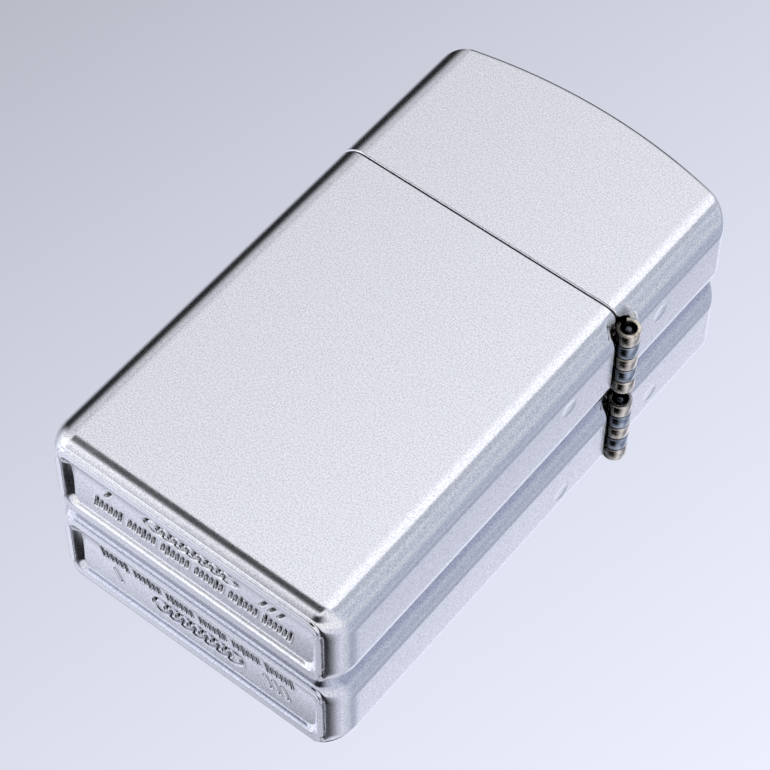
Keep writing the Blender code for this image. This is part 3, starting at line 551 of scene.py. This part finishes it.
def make_wick():
    """The braided wick: a round cord along a path that swings round the wads by a cosine and
    settles in the windscreen's middle. Its radius is 1.14 mm and up to 0.12 more on a strand,
    the higher of two families that wind opposite ways, and it frays at both ends."""
    middle = (WICK_LOW[0] + WICK_HIGH[0]) / 2
    low, high = [sum(in_mm(f"cotton_wad_{index}"))[1] / 2 for index in (1, WADS)]
    pitch = (high - low) / (WADS - 1)
    y = np.linspace(WICK_LOW[1] + 0.02, WICK_HIGH[1] - 0.02, 330)
    swinging = np.cos(np.pi * np.clip((y - low) / pitch, 0, WADS - 1))
    settling = 0.5 + 0.5 * np.cos(np.pi * np.clip((y - high) / (0.8 * pitch), 0, 1))
    x = middle + WICK_SWING * np.where(y < high, swinging, settling)
    turn = np.linspace(0, 2 * np.pi, 72, endpoint=False)[None]
    along = (y * 2.6)[:, None]
    braid = np.maximum(np.cos(6 * turn + along), np.cos(6 * turn - along))
    end = np.clip(np.minimum(y - y[0], y[-1] - y) / 0.6, 0, 1)[:, None]
    radius = (1.14 + 0.12 * braid) * (0.75 + 0.25 * np.sqrt(end))
    radius = radius + 0.05 * (1 - end) * np.sin(11 * turn)
    rings = np.stack([x[:, None] + radius * np.cos(turn), np.broadcast_to(y[:, None], radius.shape),
                      MIDDLE_Z + radius * np.sin(turn)], -1)
    return tube_skin("braided_wick", [rings])


def make_coil():
    """The flint spring: a wire of 0.4 mm along a helix whose height rises evenly, but hardly
    at all over the closed turn at each end."""
    low, high = in_mm("flint_spring")
    centre = (low + high) / 2
    radius = (high[0] - low[0]) / 2 - SPRING_WIRE / 2
    turns = round((high[1] - low[1] - SPRING_WIRE) / SPRING_PITCH)
    share = np.linspace(0, 1, 26 * turns)
    angle = 2 * np.pi * turns * share
    bottom, top = low[1] + SPRING_WIRE / 2, high[1] - SPRING_WIRE / 2
    closed = 1.05 * SPRING_WIRE
    end = closed * np.minimum(turns * share, 1) - closed * np.minimum(turns * (1 - share), 1)
    middle = np.clip((share - 1 / turns) / (1 - 2 / turns), 0, 1)
    y = bottom + end + closed + middle * (top - bottom - 2 * closed)
    round_wire = np.linspace(0, 2 * np.pi, 14, endpoint=False)[None]
    reach = radius + SPRING_WIRE / 2 * np.cos(round_wire)
    rings = np.stack([centre[0] + reach * np.cos(angle)[:, None],
                      y[:, None] + SPRING_WIRE / 2 * np.sin(round_wire) * np.ones_like(angle)[:, None],
                      MIDDLE_Z + reach * np.sin(angle)[:, None]], -1)
    return tube_skin("flint_coil", [rings])


def make_tuft(index):
    """One wad: an ellipsoid rolled about X, its radius less a fold that winds round it like
    the edge of rolled wadding, and less small lumps made of sines at three sizes."""
    low, high = in_mm(f"cotton_wad_{index}")
    half = (high - low) / 2
    lean = np.linspace(0.04, np.pi - 0.04, 70)[:, None]
    turn = np.linspace(0, 2 * np.pi, 110, endpoint=False)[None]
    winding = turn + 1.7 * lean + 1.3 * index
    fold = 0.07 * np.exp(-((np.sin(winding / 2) / 0.12) ** 2)) * np.sin(lean)
    lumps = 0.02 * np.sin(7 * turn + 3 * np.sin(4 * lean + index)) * np.sin(5 * lean + index)
    lumps = lumps + 0.012 * np.sin(17 * turn + 9 * lean) * np.sin(15 * lean - 3 * turn + index)
    radius = 0.965 - fold + lumps
    way = np.stack([-np.cos(lean) * np.ones_like(turn), np.sin(lean) * np.cos(turn),
                    np.sin(lean) * np.sin(turn)], -1)
    return tube_skin(f"cotton_tuft_{index}", [(low + high) / 2 + half * radius[..., None] * way])


def make_felt():
    """The felt pad, a ring round its screw hole. A section starts at the pad's outline, a
    superellipse of power 7, crosses the top to the hole, goes down it and comes back; the
    two faces are pillowed and rippled a little by sines."""
    low, high = in_mm("felt_pad")
    half = (high - low) / 2 - 0.03
    centre = (low + high) / 2
    screw_low, screw_high = in_mm("flint_screw")
    hole = (screw_high[0] - screw_low[0]) / 2 + 0.25
    turn = np.linspace(0, 2 * np.pi, 240, endpoint=False)
    across, deep = np.cos(turn), np.sin(turn)
    out_x = centre[0] + half[0] * np.sign(across) * np.abs(across) ** (2 / 7)
    out_z = centre[2] + half[2] * np.sign(deep) * np.abs(deep) ** (2 / 7)
    in_x = (screw_low[0] + screw_high[0]) / 2 + hole * across
    in_z = centre[2] + hole * deep
    shares = np.concatenate([[1, 1, 0.985], np.linspace(0.95, 0.06, 24), [0.02, 0, 0],
                             [0.02], np.linspace(0.06, 0.95, 24), [0.985]])
    levels = np.concatenate([[-0.8, 0.8, 0.95], np.ones(24), [0.95, 0.8, -0.8],
                             [-0.95], -np.ones(24), [-0.95]])
    share, level = shares[:, None], levels[:, None]
    x, z = in_x + (out_x - in_x) * share, in_z + (out_z - in_z) * share
    ripple = 0.05 * (np.sin(2.3 * x + 1.1 * z) * np.sin(1.9 * z - 0.7 * x) - 1) * np.abs(level)
    y = centre[1] + half[1] * level * (1 + ripple)
    skin = Skin()
    first = skin.add(np.stack([x[0], y[0], z[0]], -1))
    last = skin.rings(first, np.stack([x, y, z], -1)[1:])
    skin.faces += band_faces(last, first)
    return skin.build("closing_felt")


# ---------------------------------------------------------------- materials

def linear(code):
    """An sRGB hex colour as linear red, green, blue and alpha."""
    parts = [int(code[i:i + 2], 16) / 255 for i in (0, 2, 4)]
    return tuple(p / 12.92 if p <= 0.04045 else ((p + 0.055) / 1.055) ** 2.4 for p in parts) + (1.0,)


def add(tree, kind, inputs=None, stops=(), to=None, **settings):
    """Adds a node with its settings. inputs gives each input socket, by name or number, a
    value or another node's output to be linked from, to is a socket that the node's first
    output is linked to, and stops gives a colour ramp its places and colours: its first, its
    last, and then one between them."""
    made = tree.nodes.new(kind)
    for name, value in settings.items():
        setattr(made, name, value)
    for name, value in (inputs or {}).items():
        if isinstance(value, bpy.types.NodeSocket):
            tree.links.new(value, made.inputs[name])
        else:
            made.inputs[name].default_value = value
    for index, (place, colour) in enumerate(stops):
        elements = made.color_ramp.elements
        element = elements[index] if index < 2 else elements.new(place)
        element.position = place
        element.color = linear(colour)
    if to is not None:
        tree.links.new(made.outputs[0], to)
    return made


def new_material(name, **constants):
    """A material with one Principled shader whose given sockets are set."""
    made = bpy.data.materials.new(name)
    made.use_nodes = True
    tree = made.node_tree
    tree.nodes.clear()
    shader = add(tree, "ShaderNodeBsdfPrincipled", constants)
    add(tree, "ShaderNodeOutputMaterial", {"Surface": shader.outputs[0]})
    return made, tree, shader


def paint(thing, material):
    """Gives a piece one material."""
    thing.data.materials.clear()
    thing.data.materials.append(material)


# Where most of a noise pattern's values lie.
SPREAD = {"From Min": 0.3, "From Max": 0.7}


def satin_chrome():
    """Brass shell, blasted with fine grit and chromium plated: pale and slightly cool, with
    an even sparkle and no direction. The grit's pits are drawn 0.13 mm across, coarser than
    the real ones of about 0.05 mm, so that they show. A painted shade darkens the pressed
    strokes and the pressed border round the hinge barrel."""
    made, tree, shader = new_material("satin_chrome_blasted_plated", Metallic=1.0)
    place = add(tree, "ShaderNodeTexCoord").outputs["Object"]
    grit = add(tree, "ShaderNodeTexNoise", {"Vector": place, "Scale": 1 / (0.13 * MM), "Detail": 1.0})
    cloud = add(tree, "ShaderNodeTexNoise", {"Vector": place, "Scale": 1 / (3.0 * MM), "Detail": 3.0})
    speck = add(tree, "ShaderNodeValToRGB", {"Fac": grit.outputs["Fac"]},
                [(0.3, "D2D2DA"), (0.72, "FFFFFF"), (0.5, "EDEEF1")])
    # Painted shade: the stored shade mixes the chrome towards dark grey 4A4A4C in the pressed strokes
    # and round the hinge barrel.
    recess_shade = add(tree, "ShaderNodeAttribute", attribute_name="recess_shade")
    recess_shaded_chrome = add(tree, "ShaderNodeMix", {"Factor": recess_shade.outputs["Fac"], 6: speck.outputs["Color"],
                                         7: linear("4A4A4C")}, data_type="RGBA")
    tree.links.new(recess_shaded_chrome.outputs[2], shader.inputs["Base Color"])
    add(tree, "ShaderNodeMapRange", {**SPREAD, "Value": cloud.outputs["Fac"], "To Min": 0.14,
                                     "To Max": 0.17}, to=shader.inputs["Roughness"])
    add(tree, "ShaderNodeBump", {"Height": grit.outputs["Fac"], "Strength": 0.5,
                                 "Distance": 0.0035 * MM}, to=shader.inputs["Normal"])
    return made


# The way that the barrel's lit side faces, and how far its axis lies along it: the barrel and pin are
# painted darker away from this side, a painted shade.
LIT_SIDE_WAY = (0.79, 0.61, 0.0)
LIT_SIDE_FROM = (PIN[0] * LIT_SIDE_WAY[0] + PIN[1] * LIT_SIDE_WAY[1]) * MM


def rolled_steel(name, dark, light):
    """Nickel plated steel strip, rolled round its pin and barrelled: glossy, its tint drifting
    between the two colours, with scuffs of about 0.3 mm and faint rolling lines along Z. A
    painted shade darkens whatever lies on the far side of the pin's axis from the lit way, down to 0.14
    of its colour, so the barrel's lit side stays bright."""
    made, tree, shader = new_material(name, Metallic=1.0)
    place = add(tree, "ShaderNodeTexCoord").outputs["Object"]
    scuff = add(tree, "ShaderNodeTexNoise", {"Vector": place, "Scale": 1 / (0.6 * MM), "Detail": 5.0})
    long = add(tree, "ShaderNodeMapping", {"Vector": place, "Scale": (1.0, 1.0, 0.08)})
    line = add(tree, "ShaderNodeTexNoise", {"Vector": long.outputs[0], "Scale": 1 / (0.2 * MM),
                                            "Detail": 2.0})
    tint = add(tree, "ShaderNodeValToRGB", {"Fac": scuff.outputs["Fac"]},
               [(0.32, dark), (0.62, light)])
    side = add(tree, "ShaderNodeVectorMath", {0: place, 1: LIT_SIDE_WAY}, operation="DOT_PRODUCT")
    # Painted shade: the base colour falls to 0.14 on the side of the pin's axis away from the lit way.
    painted_side_shade = add(tree, "ShaderNodeMapRange", {"Value": side.outputs["Value"], "To Min": 0.14,
                                             "From Min": LIT_SIDE_FROM - 0.7 * MM,
                                             "From Max": LIT_SIDE_FROM + 0.3 * MM})
    mixed = add(tree, "ShaderNodeMix", {"Factor": 1.0, 6: tint.outputs["Color"],
                                        7: painted_side_shade.outputs["Result"]},
                data_type="RGBA", blend_type="MULTIPLY")
    tree.links.new(mixed.outputs[2], shader.inputs["Base Color"])
    add(tree, "ShaderNodeMapRange", {**SPREAD, "Value": scuff.outputs["Fac"], "To Min": 0.07,
                                     "To Max": 0.2}, to=shader.inputs["Roughness"])
    add(tree, "ShaderNodeBump", {"Height": line.outputs["Fac"], "Strength": 0.5,
                                 "Distance": 0.01 * MM}, to=shader.inputs["Normal"])
    return made


def brushed_steel(name, stain):
    """Nickel plated steel sheet, brushed along Y: fine lines about 0.1 mm apart, and rougher
    where it is rubbed. stain, from 0 to 1, is how far heat has browned and sooted the top of
    the sheet round the flame."""
    made, tree, shader = new_material(name, Metallic=1.0)
    place = add(tree, "ShaderNodeTexCoord").outputs["Object"]
    long = add(tree, "ShaderNodeMapping", {"Vector": place, "Scale": (1.0, 0.03, 1.0)})
    line = add(tree, "ShaderNodeTexNoise", {"Vector": long.outputs[0], "Scale": 1 / (0.12 * MM),
                                            "Detail": 3.0})
    cloud = add(tree, "ShaderNodeTexNoise", {"Vector": place, "Scale": 1 / (2.5 * MM), "Detail": 4.0})
    steel = add(tree, "ShaderNodeValToRGB", {"Fac": line.outputs["Fac"]},
                [(0.3, "A9A8A6"), (0.7, "D8D6D2")])
    split = add(tree, "ShaderNodeSeparateXYZ", {0: place})
    height = add(tree, "ShaderNodeMapRange", {"Value": split.outputs["Y"], "From Min": 14 * MM,
                                              "From Max": 27 * MM})
    burnt = add(tree, "ShaderNodeMath", {0: height.outputs["Result"], 1: cloud.outputs["Fac"]},
                operation="MULTIPLY")
    share = add(tree, "ShaderNodeMath", {0: burnt.outputs[0], 1: 1.6 * stain}, operation="MULTIPLY")
    heat = add(tree, "ShaderNodeValToRGB", {"Fac": share.outputs[0]},
               [(0.15, "FFFFFF"), (0.9, "4A4038"), (0.5, "C9A878")])
    mixed = add(tree, "ShaderNodeMix", {"Factor": 1.0, 6: steel.outputs["Color"],
                                        7: heat.outputs["Color"]},
                data_type="RGBA", blend_type="MULTIPLY")
    tree.links.new(mixed.outputs[2], shader.inputs["Base Color"])
    add(tree, "ShaderNodeMapRange", {**SPREAD, "Value": cloud.outputs["Fac"], "To Min": 0.2,
                                     "To Max": 0.34}, to=shader.inputs["Roughness"])
    add(tree, "ShaderNodeBump", {"Height": line.outputs["Fac"], "Strength": 0.6,
                                 "Distance": 0.01 * MM}, to=shader.inputs["Normal"])
    return made


def milled_steel(axis):
    """Case-hardened carbon steel, milled and oil-blackened: near black in the tooth gaps and
    bright at the worn tips, by the distance from the wheel's axis."""
    made, tree, shader = new_material("carbon_steel_milled_blackened", Metallic=1.0)
    place = add(tree, "ShaderNodeTexCoord").outputs["Object"]
    flat = add(tree, "ShaderNodeMapping", {"Vector": place, "Scale": (1.0, 1.0, 0.0)})
    reach = add(tree, "ShaderNodeVectorMath", {0: flat.outputs[0], 1: axis}, operation="DISTANCE")
    wear = add(tree, "ShaderNodeMapRange", {"Value": reach.outputs["Value"], "From Min": 2.95 * MM,
                                            "From Max": 3.4 * MM})
    grain = add(tree, "ShaderNodeTexNoise", {"Vector": place, "Scale": 1 / (0.25 * MM), "Detail": 4.0})
    worn = add(tree, "ShaderNodeMath", {0: wear.outputs["Result"], 1: grain.outputs["Fac"]},
               operation="MULTIPLY")
    add(tree, "ShaderNodeValToRGB", {"Fac": worn.outputs[0]},
        [(0.05, "4A4A4D"), (0.6, "C4C2BE"), (0.3, "7D7B79")], to=shader.inputs["Base Color"])
    add(tree, "ShaderNodeMapRange", {**SPREAD, "Value": grain.outputs["Fac"], "To Min": 0.28,
                                     "To Max": 0.5}, to=shader.inputs["Roughness"])
    add(tree, "ShaderNodeBump", {"Height": grain.outputs["Fac"], "Strength": 0.6,
                                 "Distance": 0.02 * MM}, to=shader.inputs["Normal"])
    return made


def turned_brass():
    """Brass bar, turned on a lathe: warm yellow with tool rings about 0.15 mm apart along Y,
    and browner where it has tarnished."""
    made, tree, shader = new_material("brass_turned", Metallic=1.0)
    place = add(tree, "ShaderNodeTexCoord").outputs["Object"]
    rings = add(tree, "ShaderNodeTexWave", {"Vector": place, "Scale": 0.32 / MM, "Distortion": 0.4},
                bands_direction="Y")
    tarnish = add(tree, "ShaderNodeTexNoise", {"Vector": place, "Scale": 1 / (1.2 * MM), "Detail": 4.0})
    add(tree, "ShaderNodeValToRGB", {"Fac": tarnish.outputs["Fac"]},
        [(0.3, "9C7440"), (0.65, "E2C07E")], to=shader.inputs["Base Color"])
    add(tree, "ShaderNodeMapRange", {**SPREAD, "Value": tarnish.outputs["Fac"], "To Min": 0.36,
                                     "To Max": 0.18}, to=shader.inputs["Roughness"])
    add(tree, "ShaderNodeBump", {"Height": rings.outputs["Fac"], "Strength": 0.5,
                                 "Distance": 0.01 * MM}, to=shader.inputs["Normal"])
    return made


def spring_steel():
    """Spring steel, cold drawn and blued by its tempering: dark, straw to blue in patches of
    about 1 mm, with drawing lines along Y."""
    made, tree, shader = new_material("spring_steel_drawn_tempered", Metallic=1.0)
    place = add(tree, "ShaderNodeTexCoord").outputs["Object"]
    long = add(tree, "ShaderNodeMapping", {"Vector": place, "Scale": (1.0, 0.1, 1.0)})
    line = add(tree, "ShaderNodeTexNoise", {"Vector": long.outputs[0], "Scale": 1 / (0.1 * MM),
                                            "Detail": 2.0})
    temper = add(tree, "ShaderNodeTexNoise", {"Vector": place, "Scale": 1 / (1.5 * MM), "Detail": 2.0})
    add(tree, "ShaderNodeValToRGB", {"Fac": temper.outputs["Fac"]},
        [(0.35, "6C7488"), (0.7, "A79B84"), (0.5, "8D8F93")], to=shader.inputs["Base Color"])
    add(tree, "ShaderNodeMapRange", {**SPREAD, "Value": line.outputs["Fac"], "To Min": 0.2,
                                     "To Max": 0.36}, to=shader.inputs["Roughness"])
    add(tree, "ShaderNodeBump", {"Height": line.outputs["Fac"], "Strength": 0.5,
                                 "Distance": 0.008 * MM}, to=shader.inputs["Normal"])
    return made


def sparking_alloy():
    """Ferrocerium, extruded: dull dark grey, grainy, with rusty flecks of oxide."""
    made, tree, shader = new_material("ferrocerium_extruded", Metallic=0.8)
    place = add(tree, "ShaderNodeTexCoord").outputs["Object"]
    grain = add(tree, "ShaderNodeTexNoise", {"Vector": place, "Scale": 1 / (0.15 * MM), "Detail": 5.0})
    fleck = add(tree, "ShaderNodeTexVoronoi", {"Vector": place, "Scale": 1 / (0.5 * MM)})
    add(tree, "ShaderNodeValToRGB", {"Fac": fleck.outputs["Distance"]},
        [(0.1, "6B5A4C"), (0.6, "77797C"), (0.25, "55565A")], to=shader.inputs["Base Color"])
    add(tree, "ShaderNodeMapRange", {**SPREAD, "Value": grain.outputs["Fac"], "To Min": 0.55,
                                     "To Max": 0.75}, to=shader.inputs["Roughness"])
    add(tree, "ShaderNodeBump", {"Height": grain.outputs["Fac"], "Strength": 0.7,
                                 "Distance": 0.03 * MM}, to=shader.inputs["Normal"])
    return made


def fibre_mass(name, dark, light, size, depth, scorch):
    """Cotton or wool: matt with a soft sheen, its fibres mottled at the given size and
    standing up by the given depth, both in mm. scorch is the height on Y, in mm, over which
    it turns brown and then black."""
    made, tree, shader = new_material(name, **{"Sheen Weight": 0.5, "Sheen Roughness": 0.5,
                                               "Specular IOR Level": 0.2})
    place = add(tree, "ShaderNodeTexCoord").outputs["Object"]
    warp = add(tree, "ShaderNodeTexNoise", {"Vector": place, "Scale": 1 / (3 * size * MM),
                                            "Detail": 2.0})
    bent = add(tree, "ShaderNodeVectorMath", {0: warp.outputs["Color"], 3: 2 * size * MM},
               operation="SCALE")
    moved = add(tree, "ShaderNodeVectorMath", {0: place, 1: bent.outputs[0]})
    fibre = add(tree, "ShaderNodeTexNoise", {"Vector": moved.outputs[0], "Scale": 1 / (size * MM),
                                             "Detail": 6.0, "Roughness": 0.65, "Distortion": 1.5})
    tint = add(tree, "ShaderNodeValToRGB", {"Fac": fibre.outputs["Fac"]}, [(0.3, dark), (0.65, light)])
    split = add(tree, "ShaderNodeSeparateXYZ", {0: place})
    height = add(tree, "ShaderNodeMapRange", {"Value": split.outputs["Y"], "From Min": scorch[0] * MM,
                                              "From Max": scorch[1] * MM})
    burn = add(tree, "ShaderNodeValToRGB", {"Fac": height.outputs["Result"]},
               [(0.0, "FFFFFF"), (1.0, "2A2521"), (0.5, "B08A5A")])
    mixed = add(tree, "ShaderNodeMix", {"Factor": 1.0, 6: tint.outputs["Color"],
                                        7: burn.outputs["Color"]},
                data_type="RGBA", blend_type="MULTIPLY")
    tree.links.new(mixed.outputs[2], shader.inputs["Base Color"])
    add(tree, "ShaderNodeMapRange", {**SPREAD, "Value": fibre.outputs["Fac"], "To Min": 0.85,
                                     "To Max": 0.98}, to=shader.inputs["Roughness"])
    add(tree, "ShaderNodeBump", {"Height": fibre.outputs["Fac"], "Strength": 0.8,
                                 "Distance": depth * MM}, to=shader.inputs["Normal"])
    return made


# ---------------------------------------------------------------- pieces in their places

def stand_in(piece, body, node, material):
    """A piece rides its body, stands for its CAD node, and takes its slot and material."""
    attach(piece, body)
    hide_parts(node)
    paint(piece, material)


chrome = satin_chrome()
warm_steel = rolled_steel("nickel_plated_steel_rolled_warm", "A89F93", "F2E9DA")
cool_steel = rolled_steel("nickel_plated_steel_rolled_cool", "7F8894", "B9C2CE")
dark_steel = rolled_steel("carbon_steel_drawn_dark", "3C3E42", "6E7177")
sheet_steel = brushed_steel("nickel_plated_steel_brushed", 0.0)
stained_steel = brushed_steel("nickel_plated_steel_heat_stained", 1.0)
brass = turned_brass()
spring = spring_steel()
cord = fibre_mass("cotton_cord_braided", "C9BFA8", "F4EEDF", 0.18, 0.05, WICK_SCORCH)
packing = fibre_mass("cotton_wadding_carded", "D9D5CC", "FBFAF6", 0.5, 0.12, CLEAR_OF_FLAME)
felt = fibre_mass("wool_felt_pressed", "6E6D6A", "A3A19C", 0.35, 0.08, CLEAR_OF_FLAME)

stand_in(make_case(), "case", "case_body", chrome)
stand_in(make_lid(), "lid", "case_lid", chrome)
stand_in(make_leaf("case_leaf", 1, (0, 2, 4)), "case", "hinge_leaf_case", warm_steel)
stand_in(make_leaf("lid_leaf", -1, (1, 3)), "lid", "hinge_leaf_lid", cool_steel)
stand_in(make_pin(), "case", "hinge_pin", dark_steel)
stand_in(make_wick(), "case", "wick", cord)
for index in range(1, WADS + 1):
    tuft = make_tuft(index)
    stand_in(tuft, "case", f"cotton_wad_{index}", packing)
closing_felt = make_felt()
stand_in(closing_felt, "case", "felt_pad", felt)
coil = make_coil()
stand_in(coil, "case", "flint_spring", spring)
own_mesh(coil)

wheel_low, wheel_high = in_mm("flint_wheel")
wheel_axis = (wheel_low + wheel_high) / 2 * np.array([1, 1, 0]) * MM
carried = {
    "insert_shell": sheet_steel,
    "windscreen": stained_steel,
    "wheel_rivet": sheet_steel,
    "cam_rivet": sheet_steel,
    "cam_lever": sheet_steel,
    "cam_spring_rivet": sheet_steel,
    "flint_wheel": milled_steel(wheel_axis),
    "cam_spring": spring,
    "flint_tube": brass,
    "flint_plunger": brass,
    "flint_screw": brass,
    "flint": sparking_alloy(),
}
for name, material in carried.items():
    for slot in bpy.data.objects[name].material_slots:
        slot.material = material


# ---------------------------------------------------------------- floor and light

def sheet_of_light(name, points, glow, material):
    """A sheet over a grid of points whose glow is given at each point. It shows only in
    reflections and by its light."""
    numbers = np.arange(glow.size).reshape(glow.shape)
    mesh = bpy.data.meshes.new(name)
    mesh.from_pydata((points.reshape(-1, 3) * MM).tolist(), [], sheet_faces(numbers))
    level = mesh.attributes.new("glow", "FLOAT", "POINT")
    level.data.foreach_set("value", glow.astype(np.float32).ravel())
    mesh.materials.append(material)
    thing = bpy.data.objects.new(name, mesh)
    bpy.context.scene.collection.objects.link(thing)
    thing.visible_camera = False
    thing.visible_shadow = False


def level_sheet(x_span, y_span, z, cells=24):
    """A grid of points on a level rectangle."""
    x, y = np.meshgrid(np.linspace(*x_span, cells + 1), np.linspace(*y_span, cells + 1))
    return np.stack([x, y, np.full_like(x, z)], -1)


def bowed_sheet(radius, azimuths, elevations, cells=24):
    """A grid of points on part of a sphere round the object, angles in degrees from +X."""
    turn, rise = np.meshgrid(np.radians(np.linspace(*azimuths, cells + 1)),
                             np.radians(np.linspace(*elevations, cells + 1)))
    level = np.cos(rise)
    return radius * np.stack([level * np.cos(turn), level * np.sin(turn), np.sin(rise)], -1)


def lighting_fabric(name, colour):
    """Diffusion cloth, which glows as brightly as each point's own value says."""
    made = bpy.data.materials.new(name)
    made.use_nodes = True
    tree = made.node_tree
    tree.nodes.clear()
    level = add(tree, "ShaderNodeAttribute", attribute_name="glow")
    glow = add(tree, "ShaderNodeEmission", {"Color": linear(colour), "Strength": level.outputs["Fac"]})
    add(tree, "ShaderNodeOutputMaterial", {"Surface": glow.outputs[0]})
    return made


def soft_patch(shape, inside, outside, borders):
    """Glow of a soft-edged card: inside at its middle, outside at its border. The borders,
    across and up, are shares of its width and height."""
    u, v = np.meshgrid(np.linspace(0, 1, shape[1]), np.linspace(0, 1, shape[0]))
    across = smooth_step(np.minimum(u, 1 - u) / borders[0])
    up = smooth_step(np.minimum(v, 1 - v) / borders[1])
    return outside + (inside - outside) * across * up


CEILING = 460
CARD_DISTANCE = 520
STAND_DISTANCE = 300


def make_lights():
    """A large sheet overhead and behind, brighter to the right and towards the front, and a
    bluer one beside it. A dark card fills the gap before them. Round the object stand a
    dark card on the left, another far behind, a bluish one on the right and a bright one in
    front, and the dark of the camera stand."""
    cloth = lighting_fabric("diffusion_cloth", "F7F8FF")
    blue = lighting_fabric("diffusion_cloth_blue", "E6ECFB")
    back = level_sheet((-460, 200), (62, 760), CEILING, 48)
    glow = 0.96 + 0.0014 * (back[..., 0] + 180) - 0.00032 * (back[..., 1] - 200)
    glow = np.clip(glow, 0.6, 1.22) * (1 - 0.45 * smooth_step((back[..., 0] - 158) / 50))
    sheet_of_light("back_softbox", back, glow, cloth)
    side = level_sheet((200, 420), (62, 760), CEILING)
    sheet_of_light("side_sheet", side, np.full(side.shape[:2], 0.66), blue)
    gap = level_sheet((-330, 60), (-330, 61), CEILING + 2)
    lit = np.maximum(smooth_step((-60 - gap[..., 1]) / 130), smooth_step((-230 - gap[..., 0]) / 90))
    sheet_of_light("gap_card", gap, 0.04 + 1.12 * lit, cloth)
    left = bowed_sheet(CARD_DISTANCE, (128, 178), (-12, 34))
    rise = np.degrees(np.arcsin(left[..., 2] / CARD_DISTANCE))
    dark = soft_patch(left.shape, 0.015, 0.6, (0.22, 0.2)) - 0.6
    sheet_of_light("left_card", left, 0.6 + dark * (1 - smooth_step((rise - 8) / 26)), cloth)
    far = bowed_sheet(CARD_DISTANCE, (98, 127), (-2, 25))
    sheet_of_light("far_card", far, soft_patch(far.shape, 0.05, 0.6, (0.2, 0.2)), cloth)
    right = bowed_sheet(CARD_DISTANCE, (0, 52), (4, 36))
    sheet_of_light("right_card", right, soft_patch(right.shape, 0.72, 0.85, (0.25, 0.25)), blue)
    front = bowed_sheet(CARD_DISTANCE, (-172, -100), (2, 48))
    sheet_of_light("front_card", front, soft_patch(front.shape, 1.4, 1.0, (0.15, 0.15)), cloth)
    stand = bowed_sheet(STAND_DISTANCE, (-136, -12), (22, 66))
    sheet_of_light("stand_card", stand, soft_patch(stand.shape, 0.005, 1.0, (0.4, 0.2)), cloth)


def make_floor():
    """A plain polished sheet just under the object, 6 m square, its grid finer near it."""
    cells, reach, below = 40, 3000, 0.02
    span = np.linspace(-1, 1, cells + 1)
    x, y = np.meshgrid(np.sign(span) * span ** 2 * reach, np.sign(span) * span ** 2 * reach)
    points = np.stack([x, y, np.full_like(x, -below)], -1)
    numbers = np.arange(x.size).reshape(x.shape)
    mesh = bpy.data.meshes.new("floor")
    mesh.from_pydata((points.reshape(-1, 3) * MM).tolist(), [], sheet_faces(numbers))
    thing = bpy.data.objects.new("floor", mesh)
    bpy.context.scene.collection.objects.link(thing)
    made, _, shader = new_material("polished_acrylic_sheet", Metallic=1.0, Roughness=0.015)
    shader.inputs["Base Color"].default_value = linear("E7E9F1")
    paint(thing, made)


def make_room():
    """The pale room round the lights, white in front and greyer behind."""
    world = bpy.data.worlds.new("studio")
    bpy.context.scene.world = world
    world.use_nodes = True
    tree = world.node_tree
    tree.nodes.clear()
    way = add(tree, "ShaderNodeTexCoord").outputs["Generated"]
    split = add(tree, "ShaderNodeSeparateXYZ", {0: way})
    behind = add(tree, "ShaderNodeMapRange", {"Value": split.outputs["Y"], "From Min": -1.0,
                                              "From Max": 1.0})
    shade = add(tree, "ShaderNodeValToRGB", {"Fac": behind.outputs["Result"]},
                [(0.0, "FFFFFF"), (1.0, "C6C9D2"), (0.45, "F6F7FC"), (0.6, "D5D8E0")])
    glow = add(tree, "ShaderNodeBackground", {"Color": shade.outputs["Color"], "Strength": 1.0})
    add(tree, "ShaderNodeOutputWorld", {"Surface": glow.outputs[0]})


make_floor()
make_lights()
make_room()

bpy.context.scene.view_settings.view_transform = "Standard"
